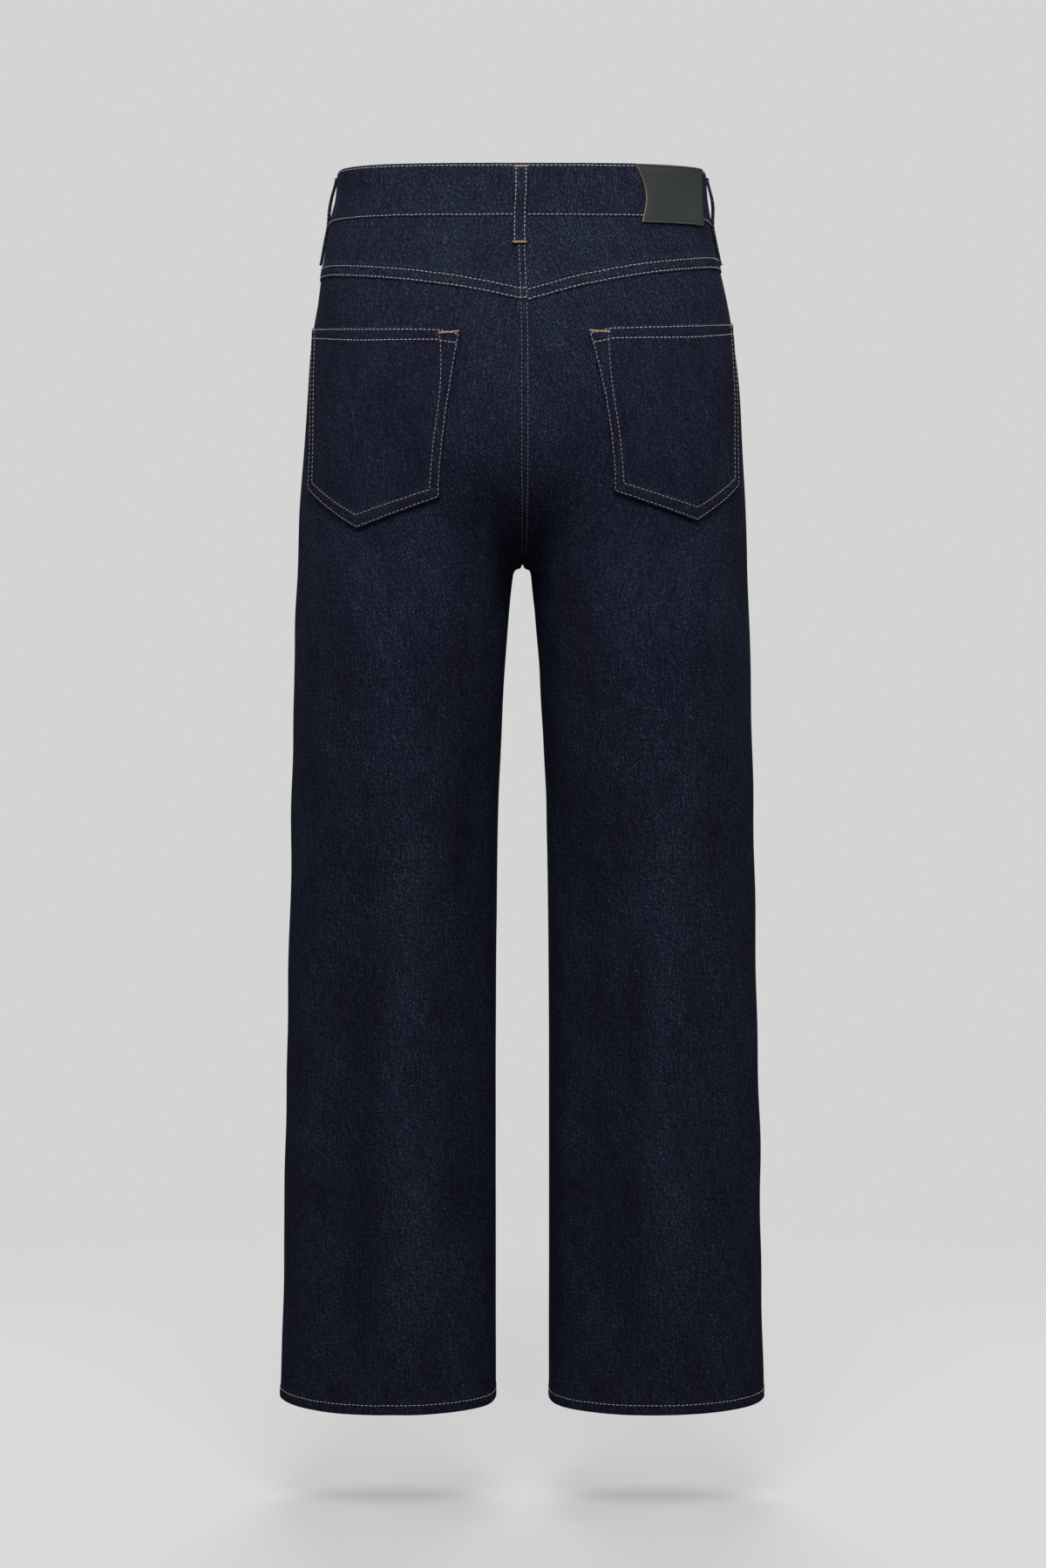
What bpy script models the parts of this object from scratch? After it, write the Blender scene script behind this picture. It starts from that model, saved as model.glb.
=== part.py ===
"""Cropped straight-leg jeans in dark rinsed denim, filled out and open, with nobody in them.

Lengths are in metres. The front faces -Y, the wearer's left is +X and up is +Z. The origin is in the
middle of the waist opening, level with the middle of the waistband at the centre back.

One half of the garment is a surface of two numbers. The turn runs from 0 at the centre front round the
side seam at 0.5 to 1 at the centre back. The level is the height at the centre back, and the waist tilts
a little from it towards the front. Above the hip a level is half of the body's ring, below the crotch it
is a whole ring round one leg, and in between the one turns into the other. Every piece is cut from this
surface: its outer face is a grid of turns and levels, and its inner face is that grid moved in.
"""

import math
from collections import namedtuple

import bmesh
import bpy
import numpy as np

DENIM = 0.0015
HEM_DENIM = 0.0032
BAND_CLOTH = 0.0030
LOOP_CLOTH = 0.0020
LEATHER = 0.0014
FACING_CLOTH = 0.0010
SEAM_GAP = 0.0003
LYING_GAP = 0.0005

BAND_HEIGHT = 0.040
BAND_TOP = BAND_HEIGHT / 2
BAND_FOOT = -BAND_HEIGHT / 2
HIP = -0.150
CROTCH = -0.287
HEM = -0.946
HEM_HEIGHT = 0.010

WAIST_SIDE_DROP = 0.009
WAIST_FRONT_DROP = 0.023
WAIST_BEND = 2.7
TILT_TOP = -0.020
TILT_FOOT = -0.175

CROTCH_ARCH_WIDTH = 0.0062
CROTCH_ARCH_HEIGHT = 0.0065
CROTCH_ARCH_SPREAD = 0.060
RISE_ROUNDNESS = 2.6
THIGH_SPREAD = 0.22
THIGH_DROP = 0.060
THIGH_SOFTNESS = 2.0

FOLD_TOP_FADE = 4.0
FOLD_FOOT_FADE = 6.0
ON_CENTRE = 0.002
STEP_TURN = 0.002
STEP_LEVEL = 0.0008
LENGTH_STEPS = 120

PANEL_COLUMNS = 16
FRONT_COLUMNS = 8
SCOOP_COLUMNS = 8
OVER_HIP_ROWS = 5
RISE_ROWS = 7
ARCH_ROWS = (0.08, 0.35, 1.0)
THIGH_START = 0.032
LEG_ROWS = 12
HEM_STEP = 0.001

SCOOP_START = 0.27
SCOOP_DEPTH = 0.078
FACING_LAP = 0.035
FACING_DROP = 0.012
FACING_ROWS = 6
YOKE_ROWS = 4

SHIELD_WIDTH = 0.042
SHIELD_LENGTH = 0.128
SHIELD_NARROWING = 0.75
SHIELD_ROUNDNESS = 6
SHIELD_ROWS = 8
SHIELD_COLUMNS = 4

LOOP_WIDTH = 0.0105
LOOP_STAND = 0.0030
LOOP_FULLNESS = 1.6
LOOP_TOP = 0.0185
LOOP_ROWS = 13
LOOP_COLUMNS = 5

PATCH_TOP_INNER = 0.0848
PATCH_FOOT_INNER = 0.0920
PATCH_OUTER = 0.1500
PATCH_TOP = 0.0196
PATCH_FOOT = -0.0236
PATCH_BOW = 0.0052
PATCH_ROWS = 8
PATCH_COLUMNS = 13

BAND_ROUND = 0.0007
BAND_ROWS = 5
BAND_STEPS = 64
UNDERLAP = 0.028
OVERLAP = 0.014
TUCK_START = 0.045
TUCK_END = 0.018
BUTTON_RADIUS = 0.0085
BUTTON_RIM = 0.0013
BUTTON_HEIGHT = 0.0032
BUTTON_SEAT = 0.0004
BUTTON_STEPS = 20

Girth = namedtuple("Girth", "level half_width front back corner sway")
BODY = (
    Girth(0.020, 0.1400, 0.083, 0.087, 3.15, 0.0014),
    Girth(0.000, 0.1417, 0.086, 0.090, 3.00, 0.0016),
    Girth(-0.020, 0.1461, 0.089, 0.094, 2.82, 0.0025),
    Girth(-0.045, 0.1511, 0.094, 0.101, 2.60, 0.0023),
    Girth(-0.085, 0.1583, 0.099, 0.110, 2.44, 0.0008),
    Girth(-0.150, 0.1662, 0.104, 0.118, 2.32, 0.0000),
    Girth(-0.220, 0.1704, 0.106, 0.118, 2.26, 0.0003),
    Girth(-0.287, 0.1740, 0.104, 0.112, 2.20, 0.0010),
)

Shank = namedtuple("Shank", "level gap_side outer half_depth middle")
LEG = (
    Shank(-0.287, 0.0008, 0.1740, 0.0985, 0.006),
    Shank(-0.335, 0.0055, 0.1759, 0.0940, 0.007),
    Shank(-0.390, 0.0088, 0.1777, 0.0870, 0.006),
    Shank(-0.460, 0.0121, 0.1795, 0.0780, 0.004),
    Shank(-0.540, 0.0136, 0.1815, 0.0705, 0.001),
    Shank(-0.640, 0.0145, 0.1842, 0.0650, -0.001),
    Shank(-0.760, 0.0147, 0.1870, 0.0620, 0.000),
    Shank(-0.860, 0.0147, 0.1892, 0.0610, 0.000),
    Shank(-0.946, 0.0147, 0.1918, 0.0610, 0.001),
)
LEG_CORNER = 2.04

Fold = namedtuple("Fold", "side turn foot_turn top foot width height")
FOLDS = (
    Fold(1, 0.735, 0.800, -0.270, -0.930, 0.055, 0.0026),
    Fold(1, 0.690, 0.690, -0.500, -0.940, 0.035, -0.0030),
    Fold(1, 0.865, 0.900, -0.330, -0.860, 0.045, -0.0022),
    Fold(-1, 0.700, 0.735, -0.260, -0.900, 0.055, 0.0028),
    Fold(-1, 0.780, 0.800, -0.560, -0.945, 0.035, -0.0026),
    Fold(-1, 0.860, 0.850, -0.380, -0.900, 0.045, -0.0018),
    Fold(1, 0.240, 0.210, -0.310, -0.900, 0.055, 0.0025),
    Fold(1, 0.150, 0.130, -0.400, -0.930, 0.040, -0.0025),
    Fold(-1, 0.260, 0.230, -0.280, -0.920, 0.055, 0.0024),
    Fold(-1, 0.160, 0.170, -0.480, -0.940, 0.040, -0.0028),
)

Yoke = namedtuple("Yoke", "centre_level side_level bend")
YOKE = {
    1: Yoke(centre_level=-0.0820, side_level=-0.0615, bend=1.9),
    -1: Yoke(centre_level=-0.0840, side_level=-0.0545, bend=1.75),
}

Corner = namedtuple("Corner", "across level")
Pocket = namedtuple("Pocket", "top_inner top_outer foot_inner point foot_outer sweep")
BACK_POCKET = {
    1: Pocket(
        top_inner=Corner(0.0465, -0.1040),
        top_outer=Corner(0.1950, -0.1030),
        foot_inner=Corner(0.0625, -0.2285),
        point=Corner(0.1290, -0.2535),
        foot_outer=Corner(0.1860, -0.2250),
        sweep=1.65,
    ),
    -1: Pocket(
        top_inner=Corner(0.0480, -0.1035),
        top_outer=Corner(0.1960, -0.0990),
        foot_inner=Corner(0.0675, -0.2240),
        point=Corner(0.1355, -0.2480),
        foot_outer=Corner(0.1865, -0.2225),
        sweep=1.85,
    ),
}

POCKET_FOOT_COLUMNS = 6
POCKET_ROWS = 11
POCKET_SWEEP_REACH = 0.35

Loop = namedtuple("Loop", "name turn foot")
SIDE_LOOPS = (
    Loop("belt_loop_side", turn=0.515, foot=-0.049),
    Loop("belt_loop_front", turn=0.215, foot=-0.042),
)
BACK_LOOP = Loop("belt_loop_back", turn=1.0, foot=-0.040)
BACK_LOOP_SHIFT = 0.0005

Rim = namedtuple("Rim", "inset height")
BUTTON_PROFILE = (
    Rim(inset=1.0, height=0.0),
    Rim(inset=0.0, height=0.35),
    Rim(inset=0.0, height=0.65),
    Rim(inset=1.0, height=1.0),
    Rim(inset=2.2, height=0.8),
)

Finish = namedtuple("Finish", "name colour roughness metallic")
DENIM_FACE = Finish("denim", (0.016, 0.021, 0.043, 1.0), 0.85, 0.0)
DENIM_BAND = Finish("denim_band", (0.018, 0.023, 0.045, 1.0), 0.85, 0.0)
POCKET_DENIM = Finish("denim_pocket", (0.014, 0.018, 0.036, 1.0), 0.85, 0.0)
PATCH_LEATHER = Finish("leather", (0.031, 0.041, 0.037, 1.0), 0.55, 0.0)
BUTTON_METAL = Finish("metal", (0.30, 0.22, 0.15, 1.0), 0.35, 1.0)


def clear_scene():
    """Remove every object, so that only the garment is left at the end."""
    for old in list(bpy.data.objects):
        bpy.data.objects.remove(old, do_unlink=True)


def smooth_step(value):
    """Rise from 0 to 1 with level ends as the value goes from 0 to 1."""
    value = np.clip(value, 0.0, 1.0)
    return value * value * (3.0 - 2.0 * value)


def read(table, name, level):
    """Read one column of a table at any level, on a smooth curve through its rows."""
    at = -np.array([row.level for row in table])
    values = np.array([getattr(row, name) for row in table])
    slopes = np.gradient(values, at)
    where = np.clip(-np.asarray(level, float), at[0], at[-1])
    row = np.clip(np.searchsorted(at, where, side="right") - 1, 0, len(at) - 2)
    span = at[row + 1] - at[row]
    share = (where - at[row]) / span
    rest = 1.0 - share
    from_start = rest * rest * ((1.0 + 2.0 * share) * values[row] + share * span * slopes[row])
    from_end = share * share * ((1.0 + 2.0 * rest) * values[row + 1] - rest * span * slopes[row + 1])
    return from_start + from_end


def ring(angle, half_width, half_depth, corner):
    """A point of a rounded rectangle between an ellipse (corner 2) and a box, seen from its middle."""
    along = np.abs(np.cos(angle) / half_width) ** corner
    across = np.abs(np.sin(angle) / half_depth) ** corner
    reach = (along + across) ** (-1.0 / corner)
    return reach * np.cos(angle), reach * np.sin(angle)


def sway(level):
    """The way in X that the waist leans to the wearer's left, as an offset for each point."""
    shift = read(BODY, "sway", level)
    return np.stack([shift, np.zeros_like(shift), np.zeros_like(shift)], axis=-1)


def waist_tilt(turn, level):
    """How far a level lies below its height at the centre back: little behind, most at the front."""
    facing = np.sin(math.pi * (turn - 0.5))
    behind = WAIST_SIDE_DROP * np.clip(1.0 - facing, 0.0, 1.0) ** WAIST_BEND
    ahead = (WAIST_FRONT_DROP - WAIST_SIDE_DROP) * np.clip(-facing, 0.0, 1.0)
    fade = smooth_step((level - TILT_FOOT) / (TILT_TOP - TILT_FOOT))
    return -(behind + ahead) * fade


def body_ring(turn, level):
    """The half ring round the body, from centre front to centre back."""
    angle = math.pi * (turn - 0.5)
    depth = np.where(angle < 0.0, read(BODY, "front", level), read(BODY, "back", level))
    return ring(angle, read(BODY, "half_width", level), depth, read(BODY, "corner", level))


def leg_ring(turn, level):
    """The whole ring round one leg, from the inseam round the front, the side and the back."""
    below = np.clip((CROTCH - level) / CROTCH_ARCH_HEIGHT, 0.0, 1.0)
    near = np.exp(-((np.minimum(turn, 1.0 - turn) / CROTCH_ARCH_SPREAD) ** 2))
    arch = CROTCH_ARCH_WIDTH * np.sqrt(1.0 - (1.0 - below) ** 2) * near
    inner = read(LEG, "gap_side", level) + arch
    outer = read(LEG, "outer", level)
    x, y = ring(
        2.0 * math.pi * (turn - 0.5), (outer - inner) / 2, read(LEG, "half_depth", level), LEG_CORNER
    )
    return x + (outer + inner) / 2, y + read(LEG, "middle", level)


def leg_share(turn, level):
    """0 where a level is all body, 1 where it is all leg: a rounded rise at the centre, gentle elsewhere."""
    away = smooth_step((0.5 - np.abs(turn - 0.5)) / THIGH_SPREAD)
    down = np.clip((HIP - level) / (HIP - CROTCH + THIGH_DROP * away), 0.0, 1.0)
    return 1.0 - (1.0 - down**RISE_ROUNDNESS) ** (0.5 + THIGH_SOFTNESS * away)


def fold_height(turn, level, side):
    """How far the folds lift the cloth: soft ridges and troughs that run down the legs and die out."""
    height = np.zeros(np.broadcast(turn, level).shape)
    for fold in FOLDS:
        if fold.side != side:
            continue
        down = (fold.top - level) / (fold.top - fold.foot)
        middle = fold.turn + (fold.foot_turn - fold.turn) * down
        ends = smooth_step(down * FOLD_TOP_FADE) * smooth_step((1.0 - down) * FOLD_FOOT_FADE)
        height = height + fold.height * ends * np.exp(-(((turn - middle) / fold.width) ** 2))
    return height


def smooth_face(turn, level):
    """A point of the half garment's outer face on the wearer's left, before the folds."""
    turn, level = np.broadcast_arrays(np.asarray(turn, float), np.asarray(level, float))
    body_x, body_y = body_ring(turn, level)
    leg_x, leg_y = leg_ring(turn, level)
    share = leg_share(turn, level)
    x = body_x + (leg_x - body_x) * share
    y = body_y + (leg_y - body_y) * share
    return np.stack([np.maximum(x, SEAM_GAP / 2), y, level + waist_tilt(turn, level)], axis=-1)


def outward(turn, level):
    """The unit direction out of the cloth. On the centre seams it keeps to the garment's middle plane."""
    turn, level = np.broadcast_arrays(np.asarray(turn, float), np.asarray(level, float))
    before = smooth_face(np.maximum(turn - STEP_TURN, 0.0), level)
    after = smooth_face(np.minimum(turn + STEP_TURN, 1.0), level)
    above = smooth_face(turn, level + STEP_LEVEL)
    below = smooth_face(turn, level - STEP_LEVEL)
    out = np.cross(after - before, above - below)
    on_seam = (turn < STEP_TURN) | (turn > 1.0 - STEP_TURN)
    in_body = level > CROTCH
    out[..., 0] = np.where(on_seam & in_body, 0.0, out[..., 0])
    out[..., 1] = np.where(on_seam & ~in_body, 0.0, out[..., 1])
    return out / np.linalg.norm(out, axis=-1, keepdims=True)


def cloth(turn, level, side, lift=0.0):
    """Points of the cloth on one side of the garment, moved out from its outer face by the lift."""
    turn, level = np.broadcast_arrays(np.asarray(turn, float), np.asarray(level, float))
    height = np.asarray(lift + fold_height(turn, level, side))[..., None]
    points = smooth_face(turn, level) + outward(turn, level) * height
    on_centre = ((turn < ON_CENTRE) | (turn > 1.0 - ON_CENTRE)) & (level >= CROTCH)
    points[..., 0] = np.where(on_centre, SEAM_GAP / 2, points[..., 0])
    return points * np.array([side, 1.0, 1.0]) + sway(level)


def turn_gap(level, turn):
    """The share of a turn that makes half a seam gap at this place."""
    run = smooth_face(turn + STEP_TURN / 2, level) - smooth_face(turn - STEP_TURN / 2, level)
    return SEAM_GAP / 2 * STEP_TURN / np.linalg.norm(run, axis=-1)


def turn_across(across, level, centre=1.0):
    """The turn at a distance round the cloth from the centre back, or from the centre front at 0."""
    turns = np.linspace(centre, 0.5, LENGTH_STEPS)
    across, level = np.broadcast_arrays(np.asarray(across, float), np.asarray(level, float))
    found = np.empty(across.shape)
    for place in np.ndindex(across.shape):
        line = smooth_face(turns, level[place])
        run = np.concatenate([[0.0], np.cumsum(np.linalg.norm(np.diff(line, axis=0), axis=1))])
        found[place] = np.interp(across[place], run, turns)
    return found


def material(finish):
    """The plain material of a finish, made once."""
    made = bpy.data.materials.get(finish.name)
    if made is None:
        made = bpy.data.materials.new(finish.name)
        made.use_nodes = True
        shader = made.node_tree.nodes["Principled BSDF"]
        shader.inputs["Base Color"].default_value = finish.colour
        shader.inputs["Roughness"].default_value = finish.roughness
        shader.inputs["Metallic"].default_value = finish.metallic
    return made


def add_mesh(name, points, faces, finish):
    """Make an object of these points and faces, with its faces turned out and shaded smooth."""
    mesh = bpy.data.meshes.new(name)
    mesh.from_pydata([tuple(point) for point in points], [], faces)
    shape = bmesh.new()
    shape.from_mesh(mesh)
    bmesh.ops.recalc_face_normals(shape, faces=shape.faces)
    shape.to_mesh(mesh)
    shape.free()
    mesh.shade_smooth()
    mesh.set_sharp_from_angle(angle=math.radians(50))
    mesh.materials.append(material(finish))
    bpy.context.scene.collection.objects.link(bpy.data.objects.new(name, mesh))


def add_wall(name, outer, inner, finish):
    """Make a closed piece between two grids of points: both faces and the cut edge all round."""
    rows, columns = outer.shape[:2]
    number = np.arange(rows * columns).reshape(rows, columns)
    faces = []
    for layer in (number, number + rows * columns):
        corners = (layer[:-1, :-1], layer[:-1, 1:], layer[1:, 1:], layer[1:, :-1])
        faces += np.stack(corners, axis=-1).reshape(-1, 4).tolist()
    edge = np.concatenate([number[0, :-1], number[:-1, -1], number[-1, :0:-1], number[:0:-1, 0]])
    following = np.roll(edge, -1)
    other = rows * columns
    faces += np.stack([edge, following, following + other, edge + other], axis=-1).tolist()
    points = np.concatenate([outer.reshape(-1, 3), inner.reshape(-1, 3)])
    add_mesh(name, points, faces, finish)


def leg_levels():
    """Levels from the hip to the hem, close together where the crotch turns under and at the hem."""
    rise = HIP + (CROTCH - HIP) * np.sin(np.linspace(0.0, math.pi / 2, RISE_ROWS))
    arch = CROTCH - CROTCH_ARCH_HEIGHT * np.array(ARCH_ROWS)
    leg = np.linspace(CROTCH - THIGH_START, HEM + HEM_HEIGHT + HEM_STEP, LEG_ROWS)
    hem = np.array([HEM + HEM_HEIGHT, HEM])
    return np.concatenate([rise, arch, leg, hem])


def panel_cloth(levels):
    """The thickness of a leg panel at each level: the hem is turned up inside."""
    return np.where(levels <= HEM + HEM_HEIGHT + HEM_STEP / 2, HEM_DENIM, DENIM)


def add_panel(name, turns, levels, side):
    """Make a panel from a grid of turns and levels."""
    outer = cloth(turns, levels, side)
    inner = cloth(turns, levels, side, -panel_cloth(levels))
    add_wall(name, outer, inner, DENIM_FACE)


def front_turns():
    """The columns of the front panel, closer together where the pocket mouth starts down."""
    before = np.linspace(0.0, SCOOP_START, FRONT_COLUMNS)
    angle = np.linspace(0.0, math.pi / 2, SCOOP_COLUMNS)
    after = SCOOP_START + (0.5 - SCOOP_START) * (1.0 - np.cos(angle))
    return np.concatenate([before, after[1:]])[None, :]


def front_top(turn):
    """The front panel's top: the waistband, then the pocket mouth, steep at first and level at the side."""
    left_over = np.clip((0.5 - turn) / (0.5 - SCOOP_START), 0.0, 1.0)
    return BAND_FOOT - SEAM_GAP - SCOOP_DEPTH * np.sqrt(1.0 - left_over**2)


def add_front(side, label):
    """The front panel, from waistband to hem, with the pocket mouth scooped out of its outer corner."""
    below = leg_levels()[:, None]
    columns = front_turns()
    gap_inner = np.where(below > CROTCH, 0.0, turn_gap(below, ON_CENTRE))
    gap_outer = turn_gap(below, 0.5)
    turns = gap_inner + columns * (0.5 - gap_outer - gap_inner) / 0.5
    top = front_top(columns)
    over = top + (HIP - top) * np.linspace(0.0, 1.0, OVER_HIP_ROWS)[:-1, None]
    levels = np.concatenate([over, np.broadcast_to(below, turns.shape)])
    turns = np.concatenate([np.broadcast_to(turns[:1], over.shape), turns])
    add_panel(f"front_{label}", turns, levels, side)


def yoke_level(turn, side):
    """The yoke seam: it dips from the side seam to a point at the centre back."""
    yoke = YOKE[side]
    towards_centre = np.clip(2.0 * turn - 1.0, 0.0, 1.0) ** yoke.bend
    return yoke.side_level + (yoke.centre_level - yoke.side_level) * towards_centre


def add_back(side, label):
    """The back panel, from the yoke seam to the hem."""
    below = leg_levels()[:, None]
    gap_inner = np.where(below > CROTCH, 0.0, turn_gap(below, 1.0 - ON_CENTRE))
    first = 0.5 + turn_gap(below, 0.5)
    share = np.linspace(0.0, 1.0, PANEL_COLUMNS)[None, :]
    turns = first + (1.0 - gap_inner - first) * share
    top = yoke_level(turns[:1], side) - SEAM_GAP
    over = top + (HIP - top) * np.linspace(0.0, 1.0, OVER_HIP_ROWS)[:-1, None]
    levels = np.concatenate([over, np.broadcast_to(below, turns.shape)])
    turns = np.concatenate([np.broadcast_to(turns[:1], over.shape), turns])
    add_panel(f"back_{label}", turns, levels, side)


def add_yoke(side, label):
    """The yoke: the shaped strip between the waistband and the back panel."""
    first = 0.5 + turn_gap(np.array(BAND_FOOT), 0.5)
    turns = np.linspace(first, 1.0, PANEL_COLUMNS)[None, :]
    top = BAND_FOOT - SEAM_GAP
    levels = top + (yoke_level(turns, side) - top) * np.linspace(0.0, 1.0, YOKE_ROWS)[:, None]
    add_panel(f"yoke_{label}", turns, levels, side)


def add_facing(side, label):
    """The denim that shows in the front pocket's mouth, set behind the front panel."""
    foot = BAND_FOOT - SCOOP_DEPTH - FACING_DROP
    levels = np.linspace(BAND_FOOT - SEAM_GAP, foot, FACING_ROWS)[:, None]
    columns = front_turns()[:, FRONT_COLUMNS - 1 :]
    columns = np.concatenate([columns[:, :1] - FACING_LAP, columns], axis=1)
    turns = np.minimum(columns, 0.5 - turn_gap(levels, 0.5))
    face = -(DENIM + LYING_GAP)
    outer = cloth(turns, levels, side, face)
    inner = cloth(turns, levels, side, face - FACING_CLOTH)
    add_wall(f"pocket_facing_{label}", outer, inner, POCKET_DENIM)


def pocket_flare(pocket, share, down):
    """How far the pocket's inner edge sweeps out past a straight line, fading into the pocket."""
    swept = (1.0 - down) - (1.0 - down) ** pocket.sweep
    near = np.clip(1.0 - share / POCKET_SWEEP_REACH, 0.0, 1.0)
    return (pocket.foot_inner.across - pocket.top_inner.across) * swept * near


def add_back_pocket(side, label):
    """The patch pocket on the back panel: a swept inner edge and a foot that runs down to a point."""
    pocket = BACK_POCKET[side]
    foot = (pocket.foot_inner, pocket.point, pocket.foot_outer)
    point_share = (pocket.point.across - foot[0].across) / (foot[2].across - foot[0].across)
    to_point = np.linspace(0.0, point_share, POCKET_FOOT_COLUMNS)
    from_point = np.linspace(point_share, 1.0, POCKET_FOOT_COLUMNS)
    share = np.concatenate([to_point, from_point[1:]])
    knots = (0.0, point_share, 1.0)
    top_across = np.interp(share, (0.0, 1.0), (pocket.top_inner.across, pocket.top_outer.across))
    top_level = np.interp(share, (0.0, 1.0), (pocket.top_inner.level, pocket.top_outer.level))
    foot_across = np.interp(share, knots, [corner.across for corner in foot])
    foot_level = np.interp(share, knots, [corner.level for corner in foot])
    down = np.linspace(0.0, 1.0, POCKET_ROWS)[:, None]
    across = top_across + (foot_across - top_across) * down + pocket_flare(pocket, share, down)
    levels = top_level + (foot_level - top_level) * down
    turns = turn_across(across, levels)
    outer = cloth(turns, levels, side, LYING_GAP + DENIM)
    inner = cloth(turns, levels, side, LYING_GAP)
    add_wall(f"back_pocket_{label}", outer, inner, POCKET_DENIM)


def whole_turn(turn, level, lift):
    """Points round the whole waist: turns 0 to 1 go up the left side, 1 to 2 come back on the right."""
    right = turn > 1.0
    own = np.clip(np.where(right, 2.0 - turn, turn), 0.0, 1.0)
    points = smooth_face(own, level) + outward(own, level) * np.asarray(lift)[..., None]
    centre = (own == 0.0) | (own == 1.0)
    points[..., 0] = np.where(centre, 0.0, points[..., 0]) * np.where(right, -1.0, 1.0)
    return points + sway(level)


def add_waistband():
    """The waistband: one strip round the waist, its right end tucked under its left at the front."""
    turns = np.linspace(0.0, 2.0, BAND_STEPS + 1)[None, :]
    between = np.linspace(BAND_TOP - BAND_ROUND, BAND_FOOT + BAND_ROUND, BAND_ROWS)
    levels = np.concatenate([[BAND_TOP], between, [BAND_FOOT]])[:, None]
    rounding = np.where(np.abs(levels) == BAND_TOP, BAND_ROUND, 0.0)
    tuck_from, tuck_to = turn_across(np.array([TUCK_START, TUCK_END]), 0.0, centre=0.0)
    tuck = smooth_step((turns - (2.0 - tuck_from)) / (tuck_from - tuck_to)) * (BAND_CLOTH + SEAM_GAP)
    outer = whole_turn(turns, levels, -rounding - tuck)
    inner = whole_turn(turns, levels, rounding - BAND_CLOTH - tuck)
    outer = lengthen(outer, OVERLAP, UNDERLAP)
    inner = lengthen(inner, OVERLAP, UNDERLAP)
    add_wall("waistband", outer, inner, DENIM_BAND)


def lengthen(grid, at_start, at_end):
    """Run a grid on past both of its ends, straight along X, which is level with the cloth there."""
    start = grid[:, :1] - np.array([at_start, 0.0, 0.0])
    end = grid[:, -1:] + np.array([at_end, 0.0, 0.0])
    return np.concatenate([start, grid, end], axis=1)


def add_fly_shield():
    """The tongue of denim behind the front opening, from the waistband down to the rise."""
    down = np.linspace(0.0, 1.0, SHIELD_ROWS)[:, None]
    levels = BAND_FOOT - SEAM_GAP - SHIELD_LENGTH * down
    reach = SHIELD_WIDTH / 2 * np.sqrt(1.0 - SHIELD_NARROWING * down**SHIELD_ROUNDNESS)
    share = np.linspace(0.0, 1.0, SHIELD_COLUMNS)[None, :]
    turns = turn_across(reach * share, levels, centre=0.0)
    face = -(DENIM + LYING_GAP)
    outer = both_sides(turns, levels, face)
    inner = both_sides(turns, levels, face - DENIM)
    add_wall("fly_shield", outer, inner, DENIM_FACE)


def both_sides(turns, levels, lift):
    """Points of the cloth from one side across the centre front to the other. The turns start at it."""
    left = cloth(turns, levels, 1, lift)
    right = cloth(turns, levels, -1, lift)
    middle = (left[:, :1] + right[:, :1]) / 2
    return np.concatenate([right[:, :0:-1], middle, left[:, 1:]], axis=1)


def add_belt_loop(name, loop, side, shift=0.0):
    """A belt loop: flat on the waistband at its top and foot, and standing off it between."""
    levels = np.linspace(LOOP_TOP, loop.foot, LOOP_ROWS)[:, None]
    down = (LOOP_TOP - levels) / (LOOP_TOP - BAND_FOOT)
    stand = LOOP_STAND * np.sin(math.pi * np.clip(down, 0.0, 1.0)) ** LOOP_FULLNESS
    middle = smooth_face(np.full_like(levels, loop.turn), levels)
    normal = outward(np.full_like(levels, loop.turn), levels)
    normal = normal * np.array([1.0, 1.0, 0.0])
    normal = normal / np.linalg.norm(normal, axis=-1, keepdims=True)
    along = np.cross(normal, np.array([0.0, 0.0, 1.0]))
    reach = np.linspace(-LOOP_WIDTH / 2, LOOP_WIDTH / 2, LOOP_COLUMNS)[None, :, None]
    inner = middle + normal * (LYING_GAP + stand)[..., None] + along * (reach + shift)
    outer = inner + normal * LOOP_CLOTH
    mirror = np.array([side, 1.0, 1.0])
    add_wall(name, outer * mirror + sway(levels), inner * mirror + sway(levels), DENIM_BAND)


def add_patch():
    """The leather patch on the waistband, right of the centre back, with a softly bowed inner edge."""
    down = np.linspace(0.0, 1.0, PATCH_ROWS)[:, None]
    levels = PATCH_TOP + (PATCH_FOOT - PATCH_TOP) * down
    inner_edge = PATCH_TOP_INNER + (PATCH_FOOT_INNER - PATCH_TOP_INNER) * down
    inner_edge = inner_edge + PATCH_BOW * np.sin(math.pi * down)
    across = inner_edge + (PATCH_OUTER - inner_edge) * np.linspace(0.0, 1.0, PATCH_COLUMNS)[None, :]
    turns = turn_across(across, levels)
    levels = np.broadcast_to(levels, turns.shape)
    outer = cloth(turns, levels, -1, LYING_GAP + LEATHER)
    inner = cloth(turns, levels, -1, LYING_GAP)
    add_wall("patch", outer, inner, PATCH_LEATHER)


def add_button():
    """The metal button on the waistband's left end: a rounded cap turned about its own axis."""
    out = outward(0.0, 0.0)
    seat = smooth_face(0.0, 0.0) * np.array([0.0, 1.0, 1.0]) + out * (SEAM_GAP + BUTTON_SEAT) + sway(0.0)
    across = np.array([1.0, 0.0, 0.0])
    up = np.cross(out, across)
    angle = np.arange(BUTTON_STEPS)[:, None] * 2.0 * math.pi / BUTTON_STEPS
    around = across * np.cos(angle) + up * np.sin(angle)
    points = [seat[None, :]]
    for rim in BUTTON_PROFILE:
        radius = BUTTON_RADIUS - BUTTON_RIM * rim.inset
        points.append(seat + around * radius + out * BUTTON_HEIGHT * rim.height)
    points.append((seat + out * BUTTON_HEIGHT * BUTTON_PROFILE[-1].height)[None, :])
    points = np.concatenate(points)
    add_mesh("button", points, turned_faces(len(BUTTON_PROFILE), BUTTON_STEPS), BUTTON_METAL)


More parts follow.
